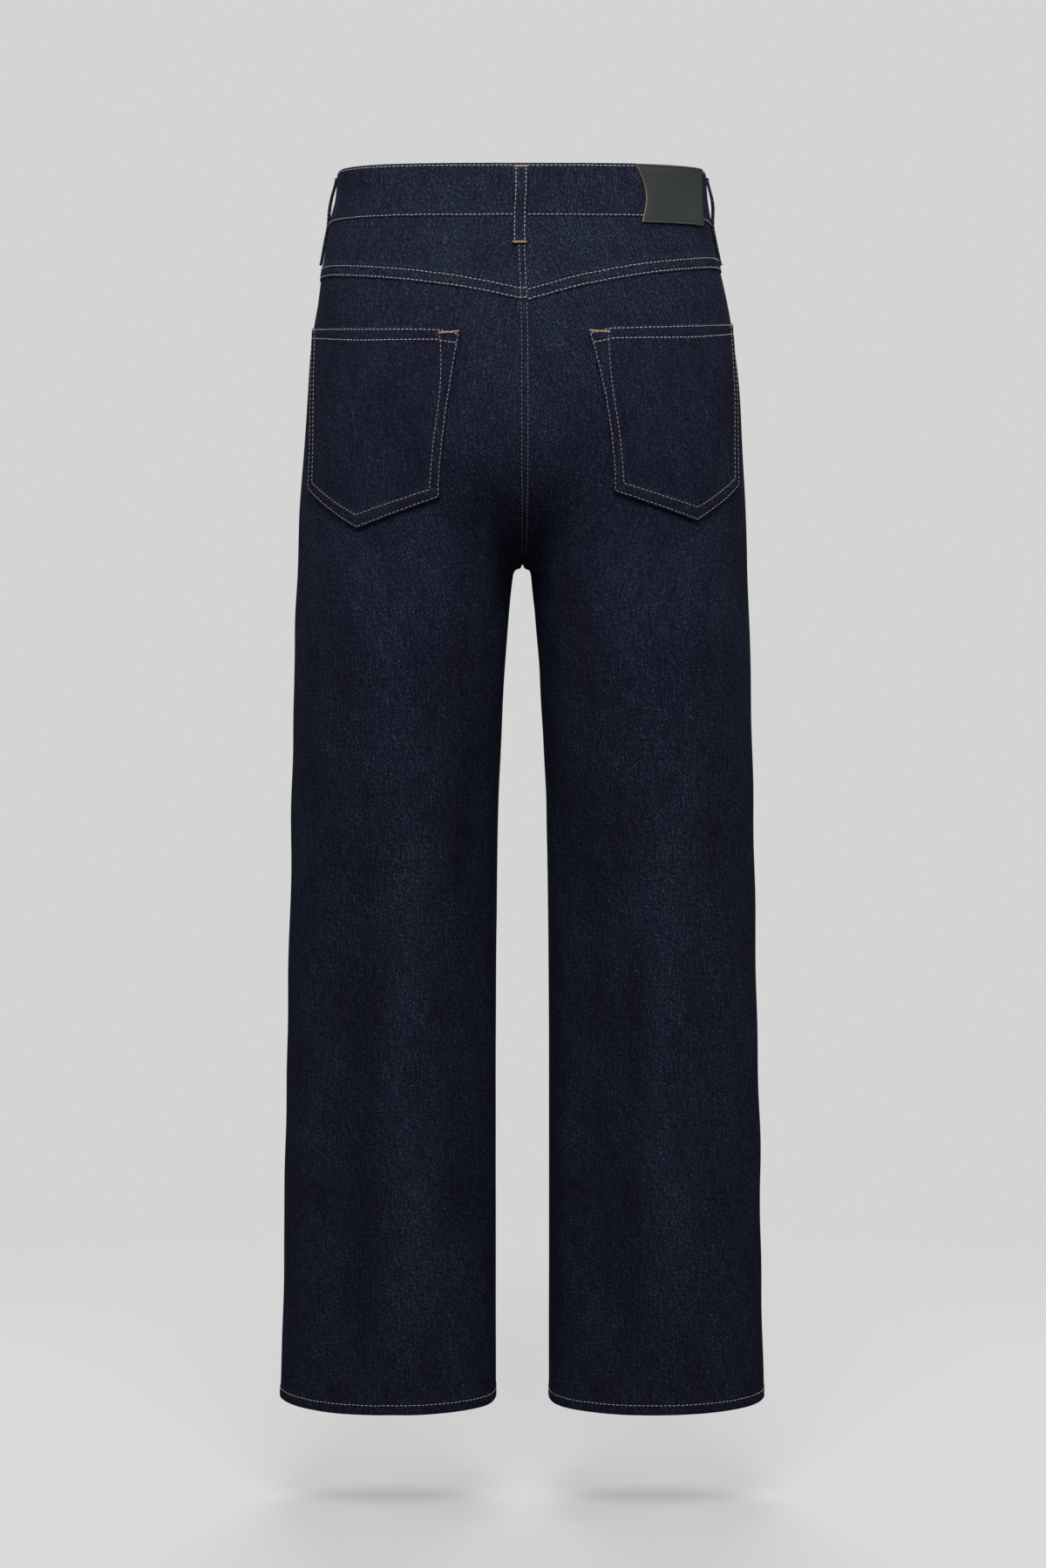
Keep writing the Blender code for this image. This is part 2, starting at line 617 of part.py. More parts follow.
def turned_faces(rings, steps):
    """The faces of a turned shape: point 0 is its foot, then ring after ring, then its tip."""
    last = 1 + rings * steps
    faces = []
    for step in range(steps):
        after = (step + 1) % steps
        faces.append((0, 1 + after, 1 + step))
        for low in range(1, last - steps, steps):
            faces.append((low + step, low + after, low + steps + after, low + steps + step))
        faces.append((last - steps + step, last - steps + after, last))
    return faces


def main():
    """Make every piece of the garment."""
    clear_scene()
    for side, label in ((1, "left"), (-1, "right")):
        add_front(side, label)
        add_back(side, label)
        add_yoke(side, label)
        add_facing(side, label)
        add_back_pocket(side, label)
        for loop in SIDE_LOOPS:
            add_belt_loop(f"{loop.name}_{label}", loop, side)
    add_belt_loop(BACK_LOOP.name, BACK_LOOP, 1, BACK_LOOP_SHIFT)
    add_waistband()
    add_fly_shield()
    add_patch()
    add_button()


main()
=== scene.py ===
"""Cropped straight-leg jeans in dark rinsed denim, dressed for a plain studio picture from behind.

Lengths are in metres. The front faces -Y, the wearer's left is +X and up is +Z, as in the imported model.
Every piece is a grid on one surface of two numbers. The turn runs from 0 at the centre front round the
wearer's left side seam at 0.5 to 1 at the centre back, and on round the right side to 2. The level is the
height at the centre back. Seen from outside, a growing turn always goes to the right.
"""

from __future__ import annotations

import logging
import math
from dataclasses import dataclass
from enum import Enum
from typing import Any, NamedTuple, Sequence

import bpy
import numpy as np
from bpy.types import Material, Node, NodeSocket, Object
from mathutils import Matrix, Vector


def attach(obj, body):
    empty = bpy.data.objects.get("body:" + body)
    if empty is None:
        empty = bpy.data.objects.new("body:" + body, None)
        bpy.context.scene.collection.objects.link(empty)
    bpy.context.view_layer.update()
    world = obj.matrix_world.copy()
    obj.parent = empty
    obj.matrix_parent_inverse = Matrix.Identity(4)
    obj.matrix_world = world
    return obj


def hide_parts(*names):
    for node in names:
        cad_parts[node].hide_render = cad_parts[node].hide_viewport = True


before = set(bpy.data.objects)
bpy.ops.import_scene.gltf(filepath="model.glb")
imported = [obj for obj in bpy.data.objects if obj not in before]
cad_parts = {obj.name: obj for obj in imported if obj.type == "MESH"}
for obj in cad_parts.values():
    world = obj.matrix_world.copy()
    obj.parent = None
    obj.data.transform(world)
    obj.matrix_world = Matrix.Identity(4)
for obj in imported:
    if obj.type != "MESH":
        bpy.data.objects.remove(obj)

Array = np.ndarray
Colour = tuple[float, float, float, float]
Place = tuple[float, float, float]
Pair = tuple[float, float]
# A line of stitches: its points, and the direction out of the cloth at each of them.
Line = tuple[Array, Array]

LOG = logging.getLogger("jeans")
MILLIMETRES = 1000.0
CIRCLE = 2.0 * math.pi
UP = np.array([0.0, 0.0, 1.0])
LEFTWARDS = np.array([1.0, 0.0, 0.0])
WHITE = (1.0, 1.0, 1.0, 1.0)
# A turn this far past a seam lies on it, and to one side of it.
HAIR = 1e-6
# Distances in from a cut edge and from a sewn one, where the rows or columns of points lie close.
EDGE_STEPS = (0.0, 0.0002, 0.0006, 0.0012, 0.0022)
SEAM_STEPS = EDGE_STEPS + (0.0034, 0.0048, 0.0064, 0.008)


class Side(Enum):
    """The two halves of the garment, named for the wearer, with the sign of their X."""

    LEFT = 1
    RIGHT = -1

    @property
    def label(self) -> str:
        """The half's name as the nodes write it."""
        return self.name.lower()

    def turn(self, own: Any) -> Any:
        """The turn round the whole waist of a half's own turn."""
        return own if self is Side.LEFT else 2.0 - own

    def pick(self, pair: Sequence[Any]) -> Any:
        """This half's one of a left and a right thing."""
        return pair[0 if self is Side.LEFT else 1]


class Girth(NamedTuple):
    """One ring round the body: half its width, its reach to front and back, how square, and its lean."""

    level: float
    half_width: float
    front: float
    back: float
    corner: float
    sway: float


class Shank(NamedTuple):
    """One ring round a leg: its inner and outer reach in X, half its depth and the Y of its middle."""

    level: float
    gap_side: float
    outer: float
    half_depth: float
    middle: float


class Fold(NamedTuple):
    """A soft ridge or trough down a leg, from one turn at its top to another at its foot."""

    side: int
    turn: float
    foot_turn: float
    top: float
    foot: float
    width: float
    height: float


class Crease(NamedTuple):
    """A short crease between two places of the cloth, with its width and height in metres."""

    side: int
    turn: float
    level: float
    end_turn: float
    end_level: float
    width: float
    height: float


class Yoke(NamedTuple):
    """The yoke seam of one half: its level at the centre back and at the side, and how it bends."""

    centre_level: float
    side_level: float
    bend: float


class Corner(NamedTuple):
    """A corner of a pocket: its distance round the cloth from the centre back, and its level."""

    across: float
    level: float


class Pocket(NamedTuple):
    """A back pocket: its five corners and how its inner edge sweeps in towards the top."""

    top_inner: Corner
    top_outer: Corner
    foot_inner: Corner
    point: Corner
    foot_outer: Corner
    sweep: float

    @property
    def top_width(self) -> float:
        """The width between the top's corners."""
        return self.top_outer.across - self.top_inner.across

    @property
    def foot_width(self) -> float:
        """The width between the foot's two side corners."""
        return self.foot_outer.across - self.foot_inner.across

    @property
    def height(self) -> float:
        """The height of the inner edge."""
        return self.top_inner.level - self.foot_inner.level


def ease(value: Array | float) -> Array:
    """Rise from 0 to 1 with level ends as the value goes from 0 to 1."""
    value = np.clip(value, 0.0, 1.0)
    return value * value * (3.0 - 2.0 * value)


def bell(distance: Array, width: float) -> Array:
    """A rounded bump of height 1 that dies out at about twice its width."""
    return np.exp(-((distance / width) ** 2))


def rounded_edge(distance: Array, radius: float) -> Array:
    """How far a rounded edge has dropped at a distance in from it: a quarter circle of the radius."""
    inwards = 1.0 - np.clip(distance / radius, 0.0, 1.0)
    return radius * (1.0 - np.sqrt(1.0 - inwards**2))


def run_along(points: Array, axis: int) -> Array:
    """The length run along an axis of a grid of points, from its start to each point."""
    steps = np.linalg.norm(np.diff(points, axis=axis), axis=-1)
    start = np.zeros_like(np.take(steps, [0], axis=axis))
    return np.concatenate([start, np.cumsum(steps, axis=axis)], axis=axis)


def unit(vectors: Array) -> Array:
    """The same directions at length 1."""
    return vectors / np.linalg.norm(vectors, axis=-1, keepdims=True)


def paired(first: Array | float, second: Array | float) -> Sequence[Array]:
    """Two arrays of numbers, spread to each other's shape."""
    return np.broadcast_arrays(np.asarray(first, float), np.asarray(second, float))


def walls(number: Array) -> Array:
    """The faces between the rings of a grid of point numbers whose rows close on themselves."""
    turned = np.roll(number, -1, axis=-1)
    ring, after = number[..., :-1, :], number[..., 1:, :]
    return np.stack([ring, after, turned[..., 1:, :], turned[..., :-1, :]], axis=-1).reshape(-1, 4)


@dataclass(frozen=True)
class GarmentForm:
    """The surface that every piece lies on: rings round the body that turn into rings round the legs."""

    band_height: float = 0.04
    hip: float = -0.15
    crotch: float = -0.287
    hem: float = -0.946
    arch_width: float = 0.0062
    arch_height: float = 0.0065
    arch_spread: float = 0.06
    rise_roundness: float = 2.6
    thigh_spread: float = 0.22
    thigh_drop: float = 0.06
    thigh_softness: float = 2.0
    side_drop: float = 0.009
    front_drop: float = 0.023
    waist_bend: float = 2.7
    tilt_top: float = -0.02
    tilt_foot: float = -0.175
    leg_corner: float = 2.04
    turn_length: float = 0.54
    calm: float = 0.02
    ripples: int = 16
    ripple_lengths: Pair = (0.024, 0.085)
    ripple_lean: float = 0.55
    ripple_slope: float = 0.00022 / 0.12
    fold_start: float = 4.0
    fold_stop: float = 6.0
    crease_end: float = 0.35
    # Colour for each metre of fold and crease height: paler on ridges as abraded cloth, darker in troughs
    # as painted shade.
    fold_wear: float = 80.0
    crease_wear: float = 110.0
    body: tuple[Girth, ...] = (
        Girth(0.02, 0.14, 0.083, 0.087, 3.15, 0.0014),
        Girth(0.000, 0.1417, 0.086, 0.09, 3.00, 0.0016),
        Girth(-0.02, 0.1461, 0.089, 0.094, 2.82, 0.0025),
        Girth(-0.045, 0.1511, 0.094, 0.101, 2.6, 0.0023),
        Girth(-0.085, 0.1583, 0.099, 0.11, 2.44, 0.0008),
        Girth(-0.15, 0.1662, 0.104, 0.118, 2.32, 0.0000),
        Girth(-0.22, 0.1704, 0.106, 0.118, 2.26, 0.0003),
        Girth(-0.287, 0.174, 0.104, 0.112, 2.2, 0.001),
    )
    leg: tuple[Shank, ...] = (
        Shank(-0.287, 0.0008, 0.174, 0.0985, 0.006),
        Shank(-0.335, 0.0055, 0.1759, 0.094, 0.007),
        Shank(-0.39, 0.0088, 0.1777, 0.087, 0.006),
        Shank(-0.46, 0.0121, 0.1795, 0.078, 0.004),
        Shank(-0.54, 0.0136, 0.1815, 0.0705, 0.001),
        Shank(-0.64, 0.0145, 0.1842, 0.065, -0.001),
        Shank(-0.76, 0.0147, 0.187, 0.062, 0.000),
        Shank(-0.86, 0.0147, 0.1892, 0.061, 0.000),
        Shank(-0.946, 0.0147, 0.1918, 0.061, 0.001),
    )
    folds: tuple[Fold, ...] = (
        Fold(1, 0.735, 0.8, -0.27, -0.93, 0.055, 0.0026),
        Fold(1, 0.69, 0.69, -0.5, -0.94, 0.035, -0.003),
        Fold(1, 0.865, 0.9, -0.33, -0.86, 0.045, -0.0022),
        Fold(-1, 0.7, 0.735, -0.26, -0.9, 0.055, 0.0028),
        Fold(-1, 0.78, 0.8, -0.56, -0.945, 0.035, -0.0026),
        Fold(-1, 0.86, 0.85, -0.38, -0.9, 0.045, -0.0018),
        Fold(1, 0.24, 0.21, -0.31, -0.9, 0.055, 0.0025),
        Fold(1, 0.15, 0.13, -0.4, -0.93, 0.04, -0.0025),
        Fold(-1, 0.26, 0.23, -0.28, -0.92, 0.055, 0.0024),
        Fold(-1, 0.16, 0.17, -0.48, -0.94, 0.04, -0.0028),
    )
    creases: tuple[Crease, ...] = (
        Crease(1, 0.925, -0.205, 0.8, -0.33, 0.01, -0.001),
        Crease(1, 0.955, -0.25, 0.87, -0.35, 0.008, -0.0009),
        Crease(-1, 0.93, -0.2, 0.83, -0.345, 0.011, -0.0011),
        Crease(-1, 0.96, -0.24, 0.88, -0.33, 0.008, -0.0008),
        Crease(1, 0.6, -0.47, 0.74, -0.5, 0.012, 0.0006),
        Crease(-1, 0.59, -0.45, 0.72, -0.485, 0.012, 0.0006),
        Crease(1, 0.9, -0.52, 0.78, -0.555, 0.011, -0.0006),
        Crease(-1, 0.91, -0.5, 0.8, -0.54, 0.011, -0.0006),
        Crease(1, 0.07, -0.235, 0.19, -0.3, 0.01, -0.0012),
        Crease(1, 0.04, -0.262, 0.15, -0.345, 0.0085, -0.001),
        Crease(-1, 0.065, -0.225, 0.2, -0.285, 0.0105, -0.0011),
        Crease(-1, 0.045, -0.265, 0.14, -0.35, 0.0085, -0.001),
        Crease(1, 0.39, -0.48, 0.25, -0.515, 0.012, 0.0006),
        Crease(-1, 0.4, -0.5, 0.26, -0.53, 0.012, 0.0006),
        Crease(1, 0.56, -0.8, 0.7, -0.835, 0.013, 0.0006),
        Crease(-1, 0.58, -0.76, 0.7, -0.79, 0.013, 0.0005),
    )
    yokes: tuple[Yoke, Yoke] = (Yoke(-0.082, -0.0615, 1.9), Yoke(-0.084, -0.0545, 1.75))

    @property
    def band_foot(self) -> float:
        """The level of the waistband's lower edge."""
        return -self.band_height / 2

    def read(self, table: Sequence[tuple], name: str, level: Array) -> Array:
        """Read one column of a table at any level, on a smooth curve through its rows.

        Args:
            table: rows from the highest level down.
            name: the column's name.
            level: where to read it.

        Returns:
            The column's value at each level: a cubic between two rows with the slopes of both.
        """
        at = -np.array([row.level for row in table])
        values = np.array([getattr(row, name) for row in table])
        slopes = np.gradient(values, at)
        where = np.clip(-np.asarray(level, float), at[0], at[-1])
        row = np.clip(np.searchsorted(at, where, side="right") - 1, 0, len(at) - 2)
        span = at[row + 1] - at[row]
        share = (where - at[row]) / span
        rest = 1.0 - share
        from_start = rest * rest * ((1.0 + 2.0 * share) * values[row] + share * span * slopes[row])
        from_end = share * share * ((1.0 + 2.0 * rest) * values[row + 1] - rest * span * slopes[row + 1])
        return from_start + from_end

    @staticmethod
    def ring(angle: Array, half_width: Array, half_depth: Array, corner: Array) -> tuple[Array, Array]:
        """A point of a rounded rectangle between an ellipse, at corner 2, and a box, from its middle."""
        along = np.abs(np.cos(angle) / half_width) ** corner
        across = np.abs(np.sin(angle) / half_depth) ** corner
        reach = (along + across) ** (-1.0 / corner)
        return reach * np.cos(angle), reach * np.sin(angle)

    def waist_tilt(self, turn: Array, level: Array) -> Array:
        """How far a level lies under its height at the centre back: little behind, most at the front."""
        facing = np.sin(math.pi * (turn - 0.5))
        behind = self.side_drop * np.clip(1.0 - facing, 0.0, 1.0) ** self.waist_bend
        ahead = (self.front_drop - self.side_drop) * np.clip(-facing, 0.0, 1.0)
        return -(behind + ahead) * ease((level - self.tilt_foot) / (self.tilt_top - self.tilt_foot))

    def body_ring(self, turn: Array, level: Array) -> tuple[Array, Array]:
        """The half ring round the body, from centre front to centre back."""
        angle = math.pi * (turn - 0.5)
        front, back = self.read(self.body, "front", level), self.read(self.body, "back", level)
        depth = np.where(angle < 0.0, front, back)
        half_width = self.read(self.body, "half_width", level)
        return self.ring(angle, half_width, depth, self.read(self.body, "corner", level))

    def leg_ring(self, turn: Array, level: Array) -> tuple[Array, Array]:
        """The whole ring round one leg, from the inseam round the front, the side and the back."""
        below = np.clip((self.crotch - level) / self.arch_height, 0.0, 1.0)
        near = bell(np.minimum(turn, 1.0 - turn), self.arch_spread)
        arch = self.arch_width * np.sqrt(1.0 - (1.0 - below) ** 2) * near
        inner = self.read(self.leg, "gap_side", level) + arch
        outer = self.read(self.leg, "outer", level)
        depth = self.read(self.leg, "half_depth", level)
        x, y = self.ring(CIRCLE * (turn - 0.5), (outer - inner) / 2, depth, self.leg_corner)
        return x + (outer + inner) / 2, y + self.read(self.leg, "middle", level)

    def leg_share(self, turn: Array, level: Array) -> Array:
        """0 where a level is all body, 1 where it is all leg: rounded at the centre, gentle elsewhere."""
        away = ease((0.5 - np.abs(turn - 0.5)) / self.thigh_spread)
        down = (self.hip - level) / (self.hip - self.crotch + self.thigh_drop * away)
        fade = 1.0 - np.clip(down, 0.0, 1.0) ** self.rise_roundness
        return 1.0 - fade ** (0.5 + self.thigh_softness * away)

    def sway(self, level: Array) -> Array:
        """The way in X that the waist leans to the wearer's left, as an offset for each point."""
        shift = self.read(self.body, "sway", level)
        return np.stack([shift, np.zeros_like(shift), np.zeros_like(shift)], axis=-1)

    def fold_height(self, turn: Array, level: Array, side: int) -> Array:
        """How far the folds down the legs lift the cloth: bells across, fading in and out along."""
        height = np.zeros(np.broadcast(turn, level).shape)
        for fold in self.folds:
            if fold.side == side:
                down = (fold.top - level) / (fold.top - fold.foot)
                middle = fold.turn + (fold.foot_turn - fold.turn) * down
                ends = ease(down * self.fold_start) * ease((1.0 - down) * self.fold_stop)
                height = height + fold.height * ends * bell(turn - middle, fold.width)
        return height

    def crease_height(self, turn: Array, level: Array, side: int) -> Array:
        """How far the short creases lift the cloth: a bell across each one's line, fading at its ends."""
        height = np.zeros(np.broadcast(turn, level).shape)
        for crease in self.creases:
            if crease.side == side:
                run_x = (crease.end_turn - crease.turn) * self.turn_length
                run_z = crease.end_level - crease.level
                length = math.hypot(run_x, run_z)
                x, z = (turn - crease.turn) * self.turn_length, level - crease.level
                along = (x * run_x + z * run_z) / length**2
                off = (x * run_z - z * run_x) / length
                ends = ease(np.minimum(along, 1.0 - along) / self.crease_end)
                height = height + crease.height * ends * bell(off, crease.width)
        return height

    def rubbed(self, turn: Array, level: Array, side: Side) -> Array:
        """How the folds colour the cloth: ridges are abraded paler, and troughs are darker as painted
        shade, in proportion to their height.
        """
        own, _ = self.own_turn(turn)
        fold = self.fold_height(own, level, side.value)
        return self.fold_wear * fold + self.crease_wear * self.crease_height(own, level, side.value)

    def ripple(self, turn: Array, level: Array, side: int) -> Array:
        """A faint unevenness of the whole cloth: a sum of plane waves from a seeded draw."""
        draw = np.random.default_rng(20 + side)
        x, z = turn * self.turn_length, level
        height = np.zeros(np.broadcast(turn, level).shape)
        for _ in range(self.ripples):
            length, lean = draw.uniform(*self.ripple_lengths), draw.normal(0.0, self.ripple_lean)
            phase, wave = draw.uniform(0.0, 7.0), CIRCLE / length
            height = height + np.sin(wave * (x * math.cos(lean) + z * math.sin(lean)) + phase) * length
        return height * self.ripple_slope

    def smooth_face(self, turn: Array, level: Array) -> Array:
        """A point of the left half's outer face before folds and creases: body ring mixed into leg ring."""
        turn, level = paired(turn, level)
        body_x, body_y = self.body_ring(turn, level)
        leg_x, leg_y = self.leg_ring(turn, level)
        share = self.leg_share(turn, level)
        x = np.maximum(body_x + (leg_x - body_x) * share, 0.0)
        y = body_y + (leg_y - body_y) * share
        return np.stack([x, y, level + self.waist_tilt(turn, level)], axis=-1)

    def smooth_outward(self, turn: Array, level: Array) -> Array:
        """The unit direction out of the left half: the cross product of the runs along turn and level."""
        step_turn, step_level = 0.002, 0.0008
        turn, level = paired(turn, level)
        ahead = self.smooth_face(np.minimum(turn + step_turn, 1.0), level)
        behind = self.smooth_face(np.maximum(turn - step_turn, 0.0), level)
        rise = self.smooth_face(turn, level + step_level) - self.smooth_face(turn, level - step_level)
        out = np.cross(ahead - behind, rise)
        on_seam = (turn < step_turn) | (turn > 1.0 - step_turn)
        out[..., 0] = np.where(on_seam & (level > self.crotch), 0.0, out[..., 0])
        out[..., 1] = np.where(on_seam & (level <= self.crotch), 0.0, out[..., 1])
        return unit(out)

    def own_turn(self, turn: Array) -> tuple[Array, Array]:
        """Split a turn round the whole waist into a half's own turn from 0 to 1 and the half's sign."""
        turn = np.mod(np.asarray(turn, float), 2.0)
        right = turn > 1.0
        return np.where(right, 2.0 - turn, turn), np.where(right, -1.0, 1.0)

    def outward(self, turn: Array, level: Array) -> Array:
        """The unit direction out of the cloth at any turn round the whole garment."""
        turn, level = paired(turn, level)
        own, sign = self.own_turn(turn)
        out = self.smooth_outward(own, level)
        out[..., 0] *= sign
        return out

    def cloth(self, turn: Array, level: Array, lift: Array | float = 0.0) -> Array:
        """Points of the cloth at any turn round the whole garment.

        Args:
            turn: 0 to 2 round the waist; a little below 0 or past 1 crosses a centre seam.
            level: the height at the centre back.
            lift: how far outside the cloth's face the point lies.

        Returns:
            Points of the smooth face moved out by the folds, the creases, the ripple and the lift.
        """
        turn, level = paired(turn, level)
        own, sign = self.own_turn(turn)
        uneven = self.fold_height, self.crease_height, self.ripple
        left, right = (sum(part(own, level, side.value) for part in uneven) for side in Side)
        calm = ease(np.minimum(own, 1.0 - own) * self.turn_length / self.calm)
        height = np.where(sign > 0.0, left, right) * calm + lift
        points = self.smooth_face(own, level) + self.smooth_outward(own, level) * height[..., None]
        points[..., 0] *= sign
        return points + self.sway(level)

    def turn_at(self, distance: Array | float, level: Array | float, centre: float = 1.0) -> Array:
        """The turn at a distance round the left half from a centre seam.

        Args:
            distance: metres round the smooth face, towards the left side seam.
            level: where to measure it.
            centre: 1 to start from the centre back, or 0 from the centre front.

        Returns:
            The turn, read off the length run along 160 chords of each level's ring.
        """
        distance, level = paired(distance, level)
        turns = np.linspace(centre, 0.5, 161)
        line = self.smooth_face(turns[:, None], level.reshape(1, -1))
        run = run_along(line, 0)
        wanted = distance.reshape(-1)
        after = np.clip((run <= wanted).sum(axis=0), 1, len(turns) - 1)
        which = np.arange(wanted.size)
        low, high = run[after - 1, which], run[after, which]
        share = (wanted - low) / (high - low)
        return (turns[after - 1] + (turns[after] - turns[after - 1]) * share).reshape(distance.shape)

    def yoke_level(self, turn: Array, side: Side) -> Array:
        """The yoke seam: it dips from the side seam to a point at the centre back."""
        yoke = side.pick(self.yokes)
        own, _ = self.own_turn(turn)
        towards_centre = np.clip(2.0 * own - 1.0, 0.0, 1.0) ** yoke.bend
        return yoke.side_level + (yoke.centre_level - yoke.side_level) * towards_centre

    def line(self, turn: Array, level: Array, lift: Array | float) -> Line:
        """A line on the cloth, for stitches."""
        return self.cloth(turn, level, lift), self.outward(turn, level)

    def from_side(self, turn: Array) -> Array:
        """The distance round the cloth from the side seam."""
        return np.abs(0.5 - np.abs(turn - 1.0)) * self.turn_length

    def torso(self, level: Array) -> Array:
        """1 above the crotch, fading to 0 just below it."""
        return ease((level - self.crotch + 0.004) / 0.012)


FORM = GarmentForm()


class Value:
    """A number in a shader graph. Arithmetic on it adds Math nodes."""

    def __init__(self, graph: Graph, socket: NodeSocket) -> None:
        """Hold a socket and the graph that it belongs to."""
        self.graph = graph
        self.socket = socket

    def __add__(self, other: Value | float) -> Value:
        """The sum."""
        return self.graph.math("ADD", self, other)

    def __sub__(self, other: Value | float) -> Value:
        """The difference."""
        return self.graph.math("SUBTRACT", self, other)

    def __mul__(self, other: Value | float) -> Value:
        """The product."""
        return self.graph.math("MULTIPLY", self, other)

    def __truediv__(self, other: Value | float) -> Value:
        """The quotient."""
        return self.graph.math("DIVIDE", self, other)

    def __rsub__(self, other: float) -> Value:
        """The difference, with the number first."""
        return self.graph.math("SUBTRACT", other, self)

    __radd__ = __add__
    __rmul__ = __mul__

    def apply(self, operation: str) -> Value:
        """One of the Math node's functions of a single number."""
        return self.graph.math(operation, self)

    def ridge(self) -> Value:
        """A wave of the fraction that rises from 0 to 1 and falls back to 0 within each whole number."""
        return 1.0 - (self.apply("FRACT") * 2.0 - 1.0).apply("ABSOLUTE")

    def between(self, low: float, high: float) -> Value:
        """0 at the low value, 1 at the high one, and smooth between."""
        settings = {"interpolation_type": "SMOOTHSTEP"}
        sockets = {"Value": self, "From Min": low, "From Max": high}
        return self.graph.value("ShaderNodeMapRange", settings, sockets, 0)


class Graph:
    """The node graph of one material, with its Principled shader."""

    def __init__(self, name: str) -> None:
        """Make a material with a bare Principled shader."""
        self.material = bpy.data.materials.new(name)
        self.material.use_nodes = True
        self.tree = self.material.node_tree
        self.shader = self.tree.nodes["Principled BSDF"]

    def feed(self, socket: NodeSocket, value: Any) -> None:
        """Set a socket to a number or colour, or link it to another."""
        if isinstance(value, Value):
            self.tree.links.new(value.socket, socket)
        elif isinstance(value, NodeSocket):
            self.tree.links.new(value, socket)
        else:
            socket.default_value = value

    def node(self, kind: str, settings: dict[str, Any], sockets: dict[Any, Any]) -> Node:
        """Add a node.

        Args:
            kind: the node's type.
            settings: its properties, set first.
            sockets: its inputs by name or number, each a value or a link.

        Returns:
            The new node.
        """
        made = self.tree.nodes.new(kind)
        for name, value in settings.items():
            setattr(made, name, value)
        for name, value in sockets.items():
            self.feed(made.inputs[name], value)
        return made

    def value(self, kind: str, settings: dict[str, Any], sockets: dict[Any, Any], output: Any) -> Value:
        """Add a node and give one of its outputs as a number."""
        return Value(self, self.node(kind, settings, sockets).outputs[output])

    def math(self, operation: str, *numbers: Value | float) -> Value:
        """Add a Math node."""
        return self.value("ShaderNodeMath", {"operation": operation}, dict(enumerate(numbers)), 0)

    def mix(self, factor: Value, low: Any, high: Any) -> NodeSocket:
        """Mix two colours by a number from 0 to 1."""
        settings = {"data_type": "RGBA"}
        return self.node("ShaderNodeMix", settings, {0: factor, 6: low, 7: high}).outputs[2]

    def cloth_place(self) -> tuple[Value, Value]:
        """The place on the cut cloth in millimetres: across its grain and along it."""
        place = self.node("ShaderNodeUVMap", {"uv_map": "cloth"}, {})
        split = self.node("ShaderNodeSeparateXYZ", {}, {0: place.outputs[0]})
        return Value(self, split.outputs[0]) * MILLIMETRES, Value(self, split.outputs[1]) * MILLIMETRES

    def noise(self, x: Value, y: Value, detail: float = 1.0) -> Value:
        """A noise between 0 and 1 with features one unit of x and y apart."""
        place = self.node("ShaderNodeCombineXYZ", {}, {0: x, 1: y})
        sockets = {"Vector": place.outputs[0], "Scale": 1.0, "Detail": detail, "Roughness": 0.6}
        return self.value("ShaderNodeTexNoise", {"noise_dimensions": "2D"}, sockets, 0)

    def grain(self, across: Value, along: Value, grain: Grain) -> Value:
        """A noise between 0 and 1 over the cloth."""
        return self.noise(across * grain.across, along * grain.along, grain.detail)

    def attribute(self, name: str) -> Value:
        """A number that the mesh holds at each point."""
        return self.value("ShaderNodeAttribute", {"attribute_name": name}, {}, "Fac")

    def bump(self, height: Value, relief: float) -> NodeSocket:
        """A normal for a surface that rises by the relief, in metres, as the height goes from 0 to 1."""
        sockets = {"Height": height, "Distance": relief, "Strength": 1.0}
        return self.node("ShaderNodeBump", {}, sockets).outputs[0]

    def shade(self, **inputs: Any) -> None:
        """Set inputs of the shader, named with _ for a space, to numbers, colours or links."""
        for name, value in inputs.items():
            self.feed(self.shader.inputs[name.replace("_", " ")], value)


class Grain(NamedTuple):
    """A noise over the cloth: its features in a millimetre, across and along, and its finer layers."""

    across: float
    along: float
    detail: float = 1.0


